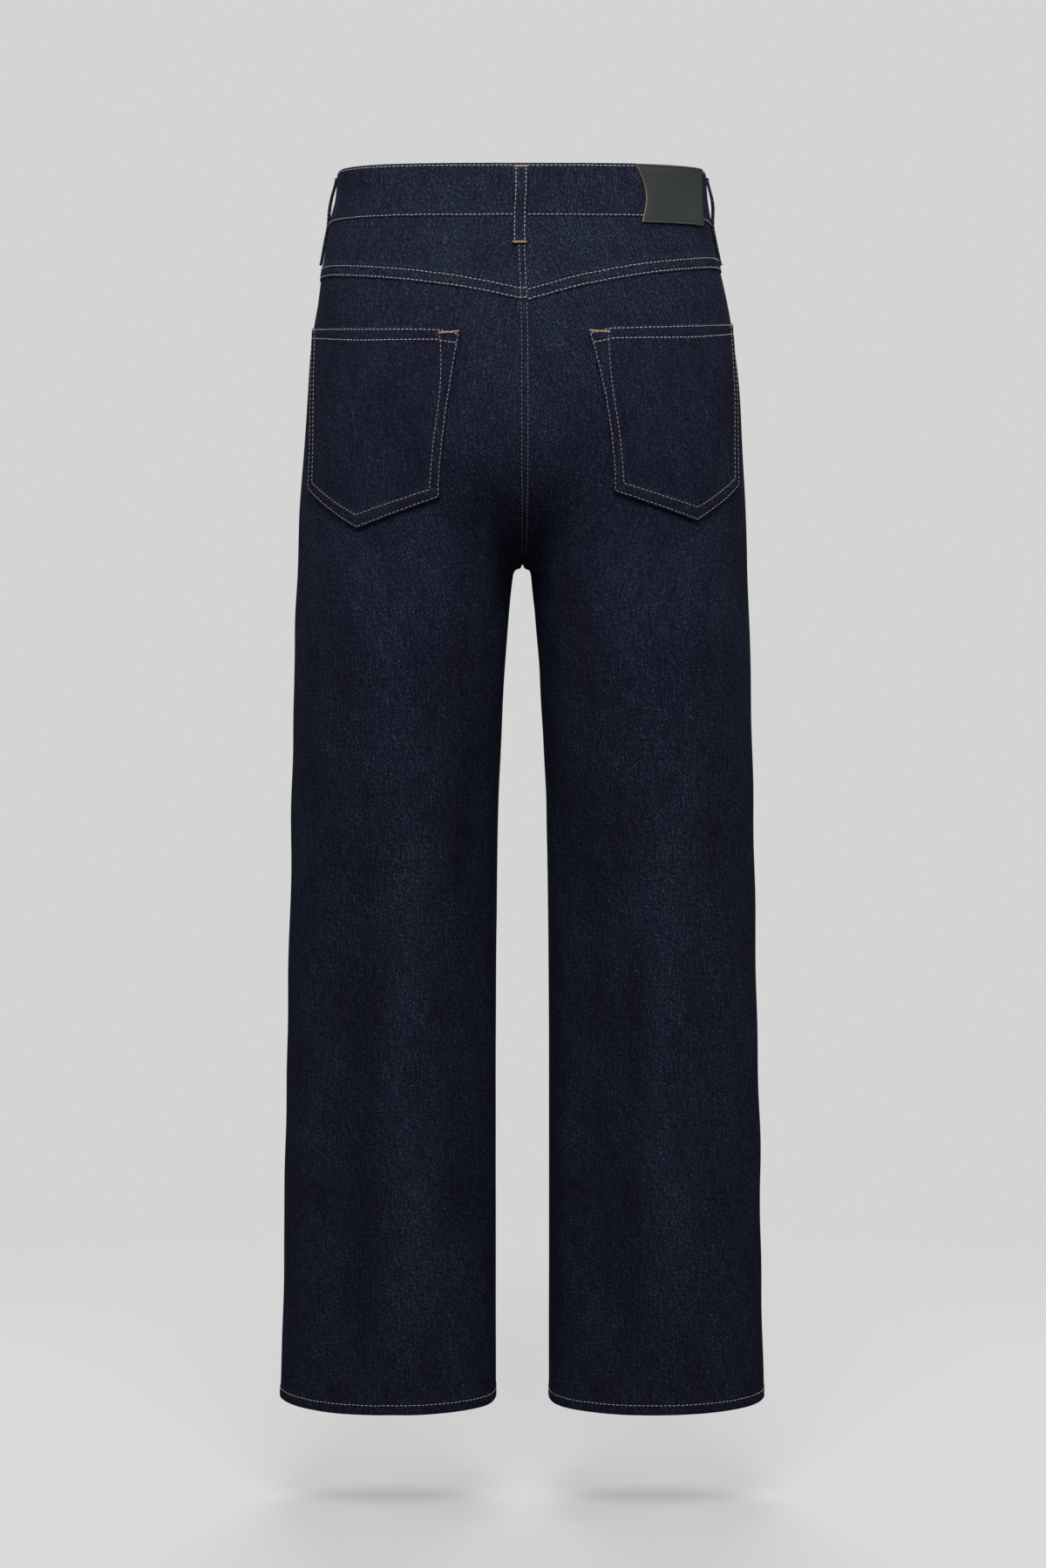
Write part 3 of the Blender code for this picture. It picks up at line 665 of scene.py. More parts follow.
@dataclass(frozen=True)
class Denim:
    """Dark rinsed right-hand twill: three warps over one weft, whose pale floats make steep lines.

    The place across the grain counts warps and the place along it counts wefts. A float lies where the
    two counts differ by a multiple of four, which draws the diagonal. Noise of several sizes breaks the
    lines up: flecks of single floats, specks that lean with the lines, slubs that run along the warp,
    and patches and clouds of uneven rinse. How pale the cloth is at a place is the floats and specks,
    times the slubs, times the rinse, paler where the cloth is abraded, and darker where painted shade
    lies in stitch channels and fold troughs.
    """

    name: str
    slot: str = "denim"
    dark: Colour = (0.0052, 0.0047, 0.0145, 1.0)
    deep: Colour = (0.0038, 0.0062, 0.0145, 1.0)
    pale: Colour = (0.1, 0.12, 0.19, 1.0)
    paleness: float = 1.0
    warp: float = 0.42
    weft: float = 0.68
    repeat: float = 4.0
    fleck: Grain = Grain(1.1, 0.8)
    speck: Grain = Grain(0.21, 0.34, 3.0)
    specks_a_line: float = 1.5
    speck_start: float = 40.0
    slub: Grain = Grain(0.75, 0.075, 2.0)
    slub_start: float = 120.0
    patch: Grain = Grain(0.15, 0.05, 2.0)
    cloud: Grain = Grain(0.026, 0.01)
    float_share: float = 0.27
    speck_share: float = 0.33
    least: float = 0.004
    least_slub: float = 0.4
    least_rinse: float = 0.38
    patch_share: float = 0.2
    cloud_share: float = 0.26
    wear_gain: float = 1.5
    wear_share: float = 0.03
    relief: float = 0.00025

    def material(self) -> Material:
        """Build the denim's material."""
        graph = Graph(self.name)
        across, along = graph.cloth_place()
        count = (along / self.weft - across / self.warp) / self.repeat
        line = count.ridge()
        fleck = graph.grain(across, along, self.fleck)
        leaning = along * self.speck.along + across * self.speck.across
        speck = graph.noise(count * self.specks_a_line + self.speck_start, leaning, self.speck.detail)
        slub = graph.grain(across, along + self.slub_start, self.slub)
        patch = graph.grain(across, along, self.patch).between(0.28, 0.72)
        cloud = graph.grain(across, along, self.cloud).between(0.25, 0.75)
        floats = line.between(0.35, 0.9) * fleck.between(0.36, 0.66) * self.float_share
        amount = floats + speck.between(0.46, 0.68) * self.speck_share + self.least
        rinse = patch * self.patch_share + cloud * self.cloud_share + self.least_rinse
        amount = amount * (slub.between(0.25, 0.78) + self.least_slub) * rinse
        # The mesh's number at each point: paler where the cloth is abraded, darker as painted shade in
        # stitch channels and fold troughs.
        wear = graph.attribute("wear")
        amount = amount * (1.0 + wear * self.wear_gain) * self.paleness + wear * self.wear_share
        shade = graph.mix(cloud, self.dark, self.deep)
        colour = graph.mix(graph.math("MAXIMUM", amount, 0.0), shade, self.pale)
        weave = graph.bump(line * 0.6 + fleck * 0.9, self.relief)
        graph.shade(Base_Color=colour, Roughness=0.92, Normal=weave, Specular_IOR_Level=0.05)
        return graph.material


@dataclass(frozen=True)
class Thread:
    """Twisted sewing thread: the strands wind round it at a slant, and the grooves between them are darker
    as painted shade.
    """

    name: str
    slot: str
    colour: Colour
    strand: float = 0.55
    slant: float = 0.8
    hollow: float = 0.45
    uneven: Grain = Grain(0.35, 0.2, 2.0)
    relief: float = 0.00012

    def material(self) -> Material:
        """Build the thread's material."""
        graph = Graph(self.name)
        along, around = graph.cloth_place()
        strand = ((along + around * self.slant) / self.strand).ridge()
        shade = graph.grain(along, around, self.uneven)
        # Painted shade: the grooves between the strands get a darker copy of the thread's colour.
        dark = tuple(part * self.hollow for part in self.colour[:3]) + (1.0,)
        colour = graph.mix(strand.between(0.0, 0.55) * (0.55 + shade * 0.7), dark, self.colour)
        twist = graph.bump(strand, self.relief)
        graph.shade(Base_Color=colour, Roughness=0.65, Normal=twist, Specular_IOR_Level=0.25)
        return graph.material


@dataclass(frozen=True)
class Leather:
    """Dark green leather with a fine pebble, darker in its low places as painted shade and mottled at
    random, and a tan fibre where it is cut.
    """

    name: str = "patch_leather"
    slot: str = "patch_leather"
    face: Colour = (0.015, 0.0215, 0.018, 1.0)
    hollow: Colour = (0.0125, 0.017, 0.015, 1.0)
    cut: Colour = (0.23, 0.165, 0.095, 1.0)
    pebble: Grain = Grain(1.6, 1.6, 3.0)
    cloud: Grain = Grain(0.1, 0.13, 2.0)
    relief: float = 0.00018

    def material(self) -> Material:
        """Build the leather's material."""
        graph = Graph(self.name)
        across, along = graph.cloth_place()
        pebble = graph.grain(across, along, self.pebble)
        cloud = graph.grain(across, along, self.cloud)
        # Painted shade: the pebble's low places take the darker colour, mixed with a random mottle.
        face = graph.mix(pebble.between(0.3, 0.62) * (0.7 + cloud * 0.5), self.hollow, self.face)
        colour = graph.mix(graph.attribute("wear").between(0.3, 0.75), face, self.cut)
        rough, normal = 0.42 + pebble * 0.25, graph.bump(pebble, self.relief)
        graph.shade(Base_Color=colour, Roughness=rough, Normal=normal, Specular_IOR_Level=0.4)
        return graph.material


@dataclass(frozen=True)
class Metal:
    """The button's aged copper, brushed round, with darker patches at random."""

    name: str = "button_metal"
    slot: str = "button_metal"
    bright: Colour = (0.42, 0.26, 0.16, 1.0)
    dull: Colour = (0.13, 0.075, 0.045, 1.0)
    brush: Grain = Grain(0.4, 6.0, 2.0)
    spot: Grain = Grain(0.9, 0.9, 3.0)
    relief: float = 0.00004

    def material(self) -> Material:
        """Build the metal's material."""
        graph = Graph(self.name)
        across, along = graph.cloth_place()
        brush = graph.grain(across, along, self.brush)
        spot = graph.grain(across, along, self.spot)
        colour = graph.mix(spot.between(0.32, 0.6), self.dull, self.bright)
        rough, normal = 0.28 + brush * 0.25, graph.bump(brush, self.relief)
        graph.shade(Base_Color=colour, Roughness=rough, Normal=normal, Metallic=1.0)
        return graph.material


@dataclass(frozen=True)
class Ground:
    """The studio floor: pale grey, thinning out to the same grey of the air around it."""

    name: str = "studio_floor"
    glow: float = 0.41
    albedo: float = 0.205
    uneven: Grain = Grain(0.01, 0.01)
    unevenness: float = 0.004
    whole: float = 0.62
    gone: float = 1.05

    def material(self) -> Material:
        """Build the floor's material."""
        graph = Graph(self.name)
        across, along = graph.cloth_place()
        reach = (across * across + along * along).apply("SQRT") / MILLIMETRES
        shade = graph.grain(across, along, self.uneven) * self.unevenness
        grey = graph.mix(shade, (self.albedo,) * 3 + (1.0,), (0.3, 0.3, 0.3, 1.0))
        graph.shade(Base_Color=grey, Roughness=1.0, Specular_IOR_Level=0.0)
        graph.shade(Emission_Color=WHITE, Emission_Strength=self.glow)
        graph.shade(Alpha=1.0 - reach.between(self.whole, self.gone))
        return graph.material


class Yarn(Enum):
    """The threads that the garment is sewn with."""

    BEIGE = Thread("topstitch_thread", "thread", (0.53, 0.485, 0.425, 1.0))
    DULL = Thread("pocket_thread", "thread", (0.33, 0.3, 0.27, 1.0))
    # Painted shade: a darker copy of the beige thread, for the seat seam that lies in the seat's valley.
    FADED = Thread("felled_seam_thread", "thread", (0.215, 0.2, 0.19, 1.0))
    GOLD = Thread("bar_thread", "bar_thread", (0.5, 0.325, 0.18, 1.0))
    GREEN = Thread("patch_thread", "thread", (0.018, 0.028, 0.022, 1.0))


class Wardrobe:
    """Makes each finish's material once, and dresses pieces with it."""

    def __init__(self) -> None:
        """Start with no material made."""
        self.made: dict[str, Material] = {}

    def dress(self, piece: Object, finish: Any) -> Object:
        """Give a piece its finish and let it ride with the garment."""
        if finish.name not in self.made:
            self.made[finish.name] = finish.material()
        piece.data.materials.append(self.made[finish.name])
        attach(piece, "root")
        LOG.info("%s: %d faces in %s", piece.name, len(piece.data.polygons), finish.name)
        return piece


WARDROBE = Wardrobe()
DENIM = Denim("denim")
BAND_DENIM = Denim("denim_band", paleness=1.05)
POCKET_DENIM = Denim("denim_pocket", paleness=0.92)


def put_mesh(
    name: str, points: Array, faces: Sequence[Array], place: Array, wear: Any = 0.0, sharp: float = 55.0
) -> Object:
    """Put worked-out points into a new object.

    Args:
        name: the object's name.
        points: one row of three numbers for each point.
        faces: arrays of point numbers, each array with its own number of corners.
        place: the place on the cut cloth of each point, in metres.
        wear: how much paler each point is painted where the cloth is abraded, above 0, and how much darker,
            below 0, as painted shade in stitch channels and fold troughs.
        sharp: the angle in degrees past which an edge is shaded sharp.

    Returns:
        The object, at the origin.
    """
    mesh = bpy.data.meshes.new(name)
    corners = np.concatenate([part.ravel() for part in faces]).astype(np.int32)
    sizes = np.concatenate([np.full(len(part), part.shape[1]) for part in faces])
    starts = np.concatenate([[0], np.cumsum(sizes)[:-1]]).astype(np.int32)
    mesh.vertices.add(len(points))
    mesh.vertices.foreach_set("co", points.astype(np.float32).ravel())
    mesh.loops.add(len(corners))
    mesh.loops.foreach_set("vertex_index", corners)
    mesh.polygons.add(len(sizes))
    mesh.polygons.foreach_set("loop_start", starts)
    mesh.update(calc_edges=True)
    layer = mesh.uv_layers.new(name="cloth")
    layer.data.foreach_set("uv", place[corners].astype(np.float32).ravel())
    # Paler above 0 where the cloth is abraded, darker below 0 as painted shade.
    worn_and_shaded = np.broadcast_to(wear, len(points)).astype(np.float32)
    mesh.attributes.new("wear", "FLOAT", "POINT").data.foreach_set("value", worn_and_shaded)
    mesh.validate()
    mesh.shade_smooth()
    mesh.set_sharp_from_angle(angle=math.radians(sharp))
    piece = bpy.data.objects.new(name, mesh)
    bpy.context.scene.collection.objects.link(piece)
    return piece


@dataclass
class Sheet:
    """A closed piece of cloth between two grids, rows downwards and columns rightwards from outside."""

    node: str
    outer: Array
    inner: Array
    along: Array
    wear: Array | float = 0.0
    lean: float = 0.0

    @classmethod
    def on_form(
        cls, node: str, turns: Array, levels: Array, lifts: Sequence[Any], wear: Any = 0.0, lean: Any = 0.0
    ) -> Sheet:
        """A sheet for a node, whose outer and inner faces lie on the garment's form at two lifts."""
        outer, inner = (FORM.cloth(turns, levels, lift) for lift in lifts)
        return cls(node, outer, inner, levels, wear, lean)

    def make(self, finish: Any, rests_on: str = "", kind: str = "cloth") -> None:
        """Build the sheet in place of its node and state its cut.

        Args:
            finish: what it is made of.
            rests_on: the piece that it is laid on, or nothing where it hangs; not used.
            kind: the last part of its name.
        """
        piece = self.close(f"{self.node}_{kind}", finish)
        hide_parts(self.node)
        self.declare(piece)

    def place(self) -> Array:
        """The place on the cut cloth: the run across each row from its middle, and the given run along.

        A lean shears the grain, so that the weave stands at another angle where a piece is cut askew.
        """
        run = run_along(self.outer, 1)
        across = run - run[:, run.shape[1] // 2][:, None]
        along = np.broadcast_to(self.along, across.shape)
        return np.stack([across + self.lean * along, along], axis=-1)

    def close(self, name: str, finish: Any) -> Object:
        """Close the sheet with its inner face and its cut edge, and dress it."""
        rows, columns = self.outer.shape[:2]
        number = np.arange(rows * columns).reshape(rows, columns)
        other = rows * columns
        top_left, low_left = number[:-1, :-1], number[1:, :-1]
        low_right, top_right = number[1:, 1:], number[:-1, 1:]
        face = np.stack([top_left, low_left, low_right, top_right], axis=-1).reshape(-1, 4)
        edge = np.concatenate([number[0, :-1], number[:-1, -1], number[-1, :0:-1], number[:0:-1, 0]])
        after = np.roll(edge, -1)
        rim = np.stack([edge, after, after + other, edge + other], axis=-1)
        place = self.place().reshape(-1, 2)
        wear = np.broadcast_to(self.wear, (rows, columns)).reshape(-1)
        points = np.concatenate([self.outer.reshape(-1, 3), self.inner.reshape(-1, 3)])
        faces = [face, face[:, ::-1] + other, rim]
        piece = put_mesh(name, points, faces, np.tile(place, (2, 1)), np.tile(wear, 2))
        return WARDROBE.dress(piece, finish)

    def declare(self, piece: Object) -> None:
        """State the piece's cut in the log: the widest run across and the longest down. The cloth in it is
        worked out but not logged.
        """
        width = float(run_along(self.outer, 1)[:, -1].max())
        length = float(run_along(self.outer, 0)[-1].max())
        down, right = np.diff(self.outer, axis=0)[:, :-1], np.diff(self.outer, axis=1)[:-1]
        area = min(float(np.linalg.norm(np.cross(down, right), axis=-1).sum()), width * length)
        LOG.info("%s is cut %.0f by %.0f mm", piece.name, width * MILLIMETRES, length * MILLIMETRES)


def finer_ends(count: int, fine: Sequence[float], span: float) -> Array:
    """Steps from 0 to 1 that lie closer together at both ends.

    Args:
        count: the number of even steps between the fine ones.
        fine: distances in from each end, in metres.
        span: the whole distance, in metres.

    Returns:
        The steps as shares of the span.
    """
    near = np.array(fine) / span
    return np.concatenate([near, np.linspace(near[-1], 1.0 - near[-1], count)[1:-1], 1.0 - near[::-1]])


class Stitches(NamedTuple):
    """Where stitches lie: the middle of each, the direction along it and the one out of the cloth."""

    middle: Array
    along: Array
    out: Array


@dataclass(frozen=True)
class Sewing:
    """A line of stitches: each one a short thread that rises out of the cloth and dives back into it."""

    pitch: float = 0.0034
    visible: float = 0.0028
    radius: float = 0.00029
    rise: float = 0.00016
    dive: float = 0.00034
    skew: float = 0.045
    sway: float = 0.00007
    arc: float = 2.5
    taper: float = 0.3
    sides: int = 6
    stations: tuple[float, ...] = (-1.0, -0.66, 0.0, 0.66, 1.0)

    def spots(self, points: Array, outward: Array, seed: int) -> Stitches:
        """Spread stitches evenly along a line on the cloth.

        Args:
            points: the line's points.
            outward: the direction out of the cloth at each.
            seed: the draw for the small sway of each stitch.

        Returns:
            The stitches.
        """
        run = run_along(points[None], 1)[0]
        count = max(int(run[-1] / self.pitch), 1)
        at = (np.arange(count) + 0.5) * run[-1] / count

        def read(table: Array, where: Array) -> Array:
            """Read the line's table at lengths along it."""
            return np.stack([np.interp(where, run, table[:, axis]) for axis in range(3)], axis=-1)

        half = self.pitch / 4
        middle = read(points, at)
        along = unit(read(points, at + half) - read(points, at - half))
        aside = unit(np.cross(read(outward, at), along))
        draw = np.random.default_rng(seed)
        along = unit(along + aside * draw.normal(0.0, self.skew, (count, 1)))
        middle = middle + aside * draw.normal(0.0, self.sway, (count, 1))
        return Stitches(middle, along, np.cross(along, aside))

    def threads(self, stitches: Stitches) -> tuple[Array, Array, Array, Array]:
        """Build a thread for each stitch.

        A thread is a tube of a few rings. A ring's centre rises in the middle and dives at the ends with
        a power of its place along, and its radius shrinks towards the ends.

        Args:
            stitches: where they lie.

        Returns:
            The points, the tube's faces, the end faces, and the place of each point along and around.
        """
        middle, along, out = stitches.middle, stitches.along, unit(stitches.out)
        aside = np.cross(out, along)
        station = np.array(self.stations)
        angle = CIRCLE * np.arange(self.sides) / self.sides
        radius = self.radius * (1.0 - self.taper * station**4)
        centre = self.rise - (self.rise + self.dive) * np.abs(station) ** self.arc
        step = station * self.visible / 2
        count, rings = len(middle), len(station)
        up = centre[:, None] + radius[:, None] * np.sin(angle)
        over = radius[:, None] * np.cos(angle)
        points = (
            middle[:, None, None]
            + along[:, None, None] * step[None, :, None, None]
            + out[:, None, None] * up[None, :, :, None]
            + aside[:, None, None] * over[None, :, :, None]
        )
        number = np.arange(count * rings * self.sides).reshape(count, rings, self.sides)
        ends = np.concatenate([number[:, 0], number[:, -1, ::-1]])
        order = np.arange(count)[:, None, None] * self.pitch
        run = np.broadcast_to(order + step[None, :, None], number.shape)
        round_it = np.broadcast_to(angle * self.radius, number.shape)
        place = np.stack([run, round_it], axis=-1)
        return points.reshape(-1, 3), walls(number), ends, place.reshape(-1, 2)

    def put(self, name: str, parts: Sequence[Stitches], colour: Yarn) -> Object:
        """Make one piece of the threads of several lots of stitches."""
        stitches = Stitches(*(np.concatenate(part) for part in zip(*parts)))
        points, tube, ends, place = self.threads(stitches)
        return WARDROBE.dress(put_mesh(name, points, [tube, ends], place), colour.value)

    def sew(self, name: str, lines: Sequence[Line], colour: Yarn) -> Object:
        """Sew several lines as one piece.

        Args:
            name: the piece's name.
            lines: the points of each line and the direction out of the cloth at them.
            colour: the thread.

        Returns:
            The piece.
        """
        parts = [self.spots(points, out, index) for index, (points, out) in enumerate(lines)]
        return self.put(name, parts, colour)


STITCH = Sewing()


@dataclass(frozen=True)
class BarTack:
    """A bar tack: a short bar packed with threads that cross it at a slant."""

    length: float = 0.01
    height: float = 0.0019
    threads: int = 17
    slant: float = 0.32
    core: int = 4
    core_reach: float = 0.3

    def lines(self, bar: Stitches) -> Stitches:
        """The threads of a bar, as one thick stitch gives it: some slant across, a few run along it."""
        middle, along, out = bar
        share = np.linspace(-0.5, 0.5, self.threads)
        places = middle + along * (share * self.length)[:, None]
        across = np.cross(out, along)
        lean = np.where(np.arange(self.threads) % 2, self.slant, -self.slant)[:, None]
        shift = np.linspace(-self.core_reach, self.core_reach, self.core)[:, None]
        core = middle + across * shift * self.height + along * shift * self.length
        return Stitches(
            np.concatenate([places, core]),
            np.concatenate([unit(across + along * lean), np.tile(along, (self.core, 1))]),
            np.tile(out, (self.threads + self.core, 1)),
        )

    def sew(self, name: str, bars: Sequence[Stitches], colour: Yarn) -> Object:
        """Sew several bars as one piece, with threads as long as the bar is high."""
        needle = Sewing(visible=self.height, radius=0.00032, rise=0.0003, dive=0.0002)
        return needle.put(name, [self.lines(bar) for bar in bars], colour)


@dataclass(frozen=True)
class Seams:
    """Sizes that every sewn edge shares."""

    denim: float = 0.0015
    tuck: float = 0.003
    lines: Pair = (0.0016, 0.0086)
    ridge: float = 0.0009
    channel: float = 0.00022
    stitch_width: float = 0.0009
    groove: float = 0.0006
    groove_width: float = 0.0013
    cut_edge: float = 0.0006
    folded_edge: float = 0.0007
    least: float = 0.0004

    def marks(self, distance: Array, *lines: float) -> Array:
        """How near a place is to lines of stitches, at a distance in from the edge."""
        return sum(bell(distance - line, self.stitch_width) for line in lines)

    def channels(self, distance: Array, *lines: float) -> Array:
        """How far lines of stitches pull the cloth down, at a distance in from the edge."""
        return self.channel * self.marks(distance, *lines)

    def grooved(self, distance: Array) -> Array:
        """How far the cloth sinks at a distance from a plain seam."""
        return self.groove * bell(distance, self.groove_width)

    def faces(self, outer: Array, inner: Array | float) -> tuple[Array, Array]:
        """The lifts of a sheet's outer and inner faces, kept a least thickness apart."""
        return outer, np.minimum(inner, outer - self.least)


SEAMS = Seams()


@dataclass
class Waistband:
    """The waistband: one strip round the waist, rounded at its folds, its right end under its left."""

    thickness: float = 0.003
    proud: float = 0.0008
    rounding: float = 0.0014
    slack: float = 0.0003
    pucker: float = 0.0001
    puckers: int = 43
    top_line: float = 0.0019
    foot_line: float = 0.0016
    overlap: float = 0.014
    underlap: float = 0.028
    tuck_start: float = 0.045
    tuck_end: float = 0.018
    line_end: float = 0.045
    columns: int = 520
    lower: tuple[float, ...] = (0.0, 0.0002, 0.0006, 0.001, 0.0014, 0.002, 0.0028, 0.004)

    def tuck(self, turn: Array) -> Array:
        """How far the strip is tucked in at a turn: all of its thickness near its right end."""
        start, end = FORM.turn_at(np.array([self.tuck_start, self.tuck_end]), 0.0, centre=0.0)
        share = ease((turn - (2.0 - start)) / (start - end))
        return share * (self.thickness + self.slack + self.proud)

    def edge(self, level: Array) -> Array:
        """How far the strip's two edges are rounded at a level."""
        foot = level - FORM.band_foot
        return rounded_edge(np.minimum(foot, FORM.band_height - foot), self.rounding)

    def lift(self, turn: Array, level: Array) -> Array:
        """The outer face's lift: proud of the panels, rounded at both edges and pulled in by stitches."""
        foot = level - FORM.band_foot
        pull = SEAMS.channels(foot, self.foot_line, FORM.band_height - self.top_line)
        wave = self.pucker * np.sin(CIRCLE * self.puckers * turn) * bell(foot - 0.003, 0.004)
        return self.proud - self.edge(level) - pull + wave - self.tuck(turn)

    def build(self) -> None:
        """Build the strip and run its ends on straight along X at the centre front."""
        levels = FORM.band_height * (0.5 - finer_ends(12, self.lower, FORM.band_height))[:, None]
        turns = np.linspace(0.0, 2.0, self.columns + 1).clip(HAIR, 2.0 - HAIR)[None, :]
        outer = self.lift(turns, levels)
        inner = self.edge(levels) - self.thickness - self.tuck(turns)
        outer, inner = (self.lengthen(FORM.cloth(turns, levels, lift)) for lift in (outer, inner))
        foot = levels - FORM.band_foot
        wear = 0.3 * bell(foot, 0.001) + 0.2 * bell(FORM.band_height - foot, 0.001)
        # Painted shade: darker along the foot's stitches, in their channel.
        wear = wear - 0.3 * bell(foot - self.foot_line, 0.0008)
        Sheet("waistband", outer, inner, levels, wear).make(BAND_DENIM)

    def lengthen(self, grid: Array) -> Array:
        """Run a grid on past both of its ends, straight along X, which is level with the cloth there."""
        steps = np.linspace(1.0, 0.0, 7)[:-1, None] ** 1.3 * LEFTWARDS
        start, end = grid[:, :1] - self.overlap * steps, grid[:, -1:] + self.underlap * steps[::-1]
        return np.concatenate([start, grid, end], axis=1)

    def line(self, height: float) -> Line:
        """A line of stitches round the strip at a height above its foot, as far as the overlap's end."""
        turns = np.linspace(HAIR, 2.0 - self.line_end, 700)
        levels = np.full_like(turns, FORM.band_foot + height)
        points, out = FORM.line(turns, levels, self.lift(turns, levels))
        steps = np.linspace(1.0, 0.0, 12)[:-1, None] * LEFTWARDS
        ahead = points[:1] - (self.overlap - self.top_line) * steps
        return np.concatenate([ahead, points]), np.concatenate([np.repeat(out[:1], 11, axis=0), out])

    def end_line(self) -> Line:
        """The short line of stitches down the overlap's end."""
        levels = np.linspace(FORM.band_height / 2 - self.top_line, FORM.band_foot + self.foot_line, 20)
        turns = np.full_like(levels, HAIR)
        points, out = FORM.line(turns, levels, self.lift(turns, levels))
        return points - (self.overlap - self.top_line) * LEFTWARDS, out

    def sew(self) -> None:
        """Sew along both edges and round the end."""
        lines = [self.line(FORM.band_height - self.top_line), self.line(self.foot_line), self.end_line()]
        STITCH.sew("waistband_stitches", lines, Yarn.BEIGE)


def leg_levels() -> Array:
    """Levels from the hip to the hem, close together where the crotch turns under and at the hem."""
    rise = FORM.hip + (FORM.crotch - FORM.hip) * np.sin(np.linspace(0.0, math.pi / 2, 44))
    arch = FORM.crotch - FORM.arch_height * np.array([0.03, 0.1, 0.22, 0.42, 0.7, 1.0])
    leg = np.linspace(FORM.crotch - 0.0095, FORM.hem + 0.0135, 158)
    above_hem = np.array([0.0115, 0.01, 0.009, 0.008, 0.007, 0.0058, 0.0042, 0.0028, 0.0016])
    rounding = np.array([0.001, 0.0005, 0.0002, 0.0])
    return np.concatenate([rise, arch, leg, FORM.hem + above_hem, FORM.hem + rounding])


@dataclass
class Hem:
    """The hem: the cloth turned up inside and sewn once round."""

    height: float = 0.01
    line: float = 0.008
    thickness: float = 0.0032
    rounding: float = 0.0016
    proud: float = 0.00035
    rope: float = 0.00016
    rope_length: float = 0.0125

    def lift(self, turn: Array, level: Array) -> Array:
        """The outer face's lift: a little proud below the fold's top, roped, and rounded at the foot."""
        above = level - FORM.hem
        proud = self.proud * ease((self.height + 0.0015 - above) / 0.003)
        slant = turn * FORM.turn_length + above * 0.9
        rope = self.rope * np.sin(CIRCLE * slant / self.rope_length) * bell(above - 0.0045, 0.0035)
        return proud + rope - rounded_edge(above, self.rounding) - SEAMS.channels(above, self.line)

    def inner(self, level: Array) -> Array:
        """The inner face's lift: one cloth thick above the turned-up part, and three within it."""
        above = level - FORM.hem
        fold = ease((self.height + 0.0006 - above) / 0.0012)
        thick = SEAMS.denim + (self.thickness - SEAMS.denim) * fold
        return rounded_edge(above, self.rounding) - thick

    def wear(self, level: Array) -> Array:
        """Paler at the foot's folded edge where abraded, and darker along the stitches as painted shade in
        their channel.
        """
        above = level - FORM.hem
        return 0.25 * bell(above, 0.0008) - 0.35 * bell(above - self.line, 0.001)

    def sew(self, side: Side) -> None:
        """Sew round one leg."""
        turns = side.pick((0.0, 1.0)) + np.linspace(1e-5, 1.0 - 1e-5, 420)
        levels = np.full_like(turns, FORM.hem + self.line)
        line = FORM.line(turns, levels, self.lift(turns, levels))
        STITCH.sew(f"hem_stitches_{side.label}", [line], Yarn.BEIGE)


HEM = Hem()


def back_turns(side: Side, share: Array, lap: Array | float) -> Array:
    """The columns of a piece of the back by their shares: the left one's run a lap past the centre."""
    if side is Side.LEFT:
        return 0.5 + (0.5 + lap) * share
    return 1.0 + np.maximum(0.5 * share, 1e-7) + np.zeros_like(lap)


def from_top(top: Array, turns: Array, bend: float = 1.0) -> tuple[Array, Array]:
    """The turns and levels of a panel's points, from its own top to the hip and on to the hem."""
    over = top + (FORM.hip - top) * np.linspace(0.0, 1.0, 27)[:-1, None] ** bend
    levels = np.concatenate([over, np.broadcast_to(leg_levels()[:, None], turns.shape)])
    return np.concatenate([np.broadcast_to(turns[:1], over.shape), turns]), levels


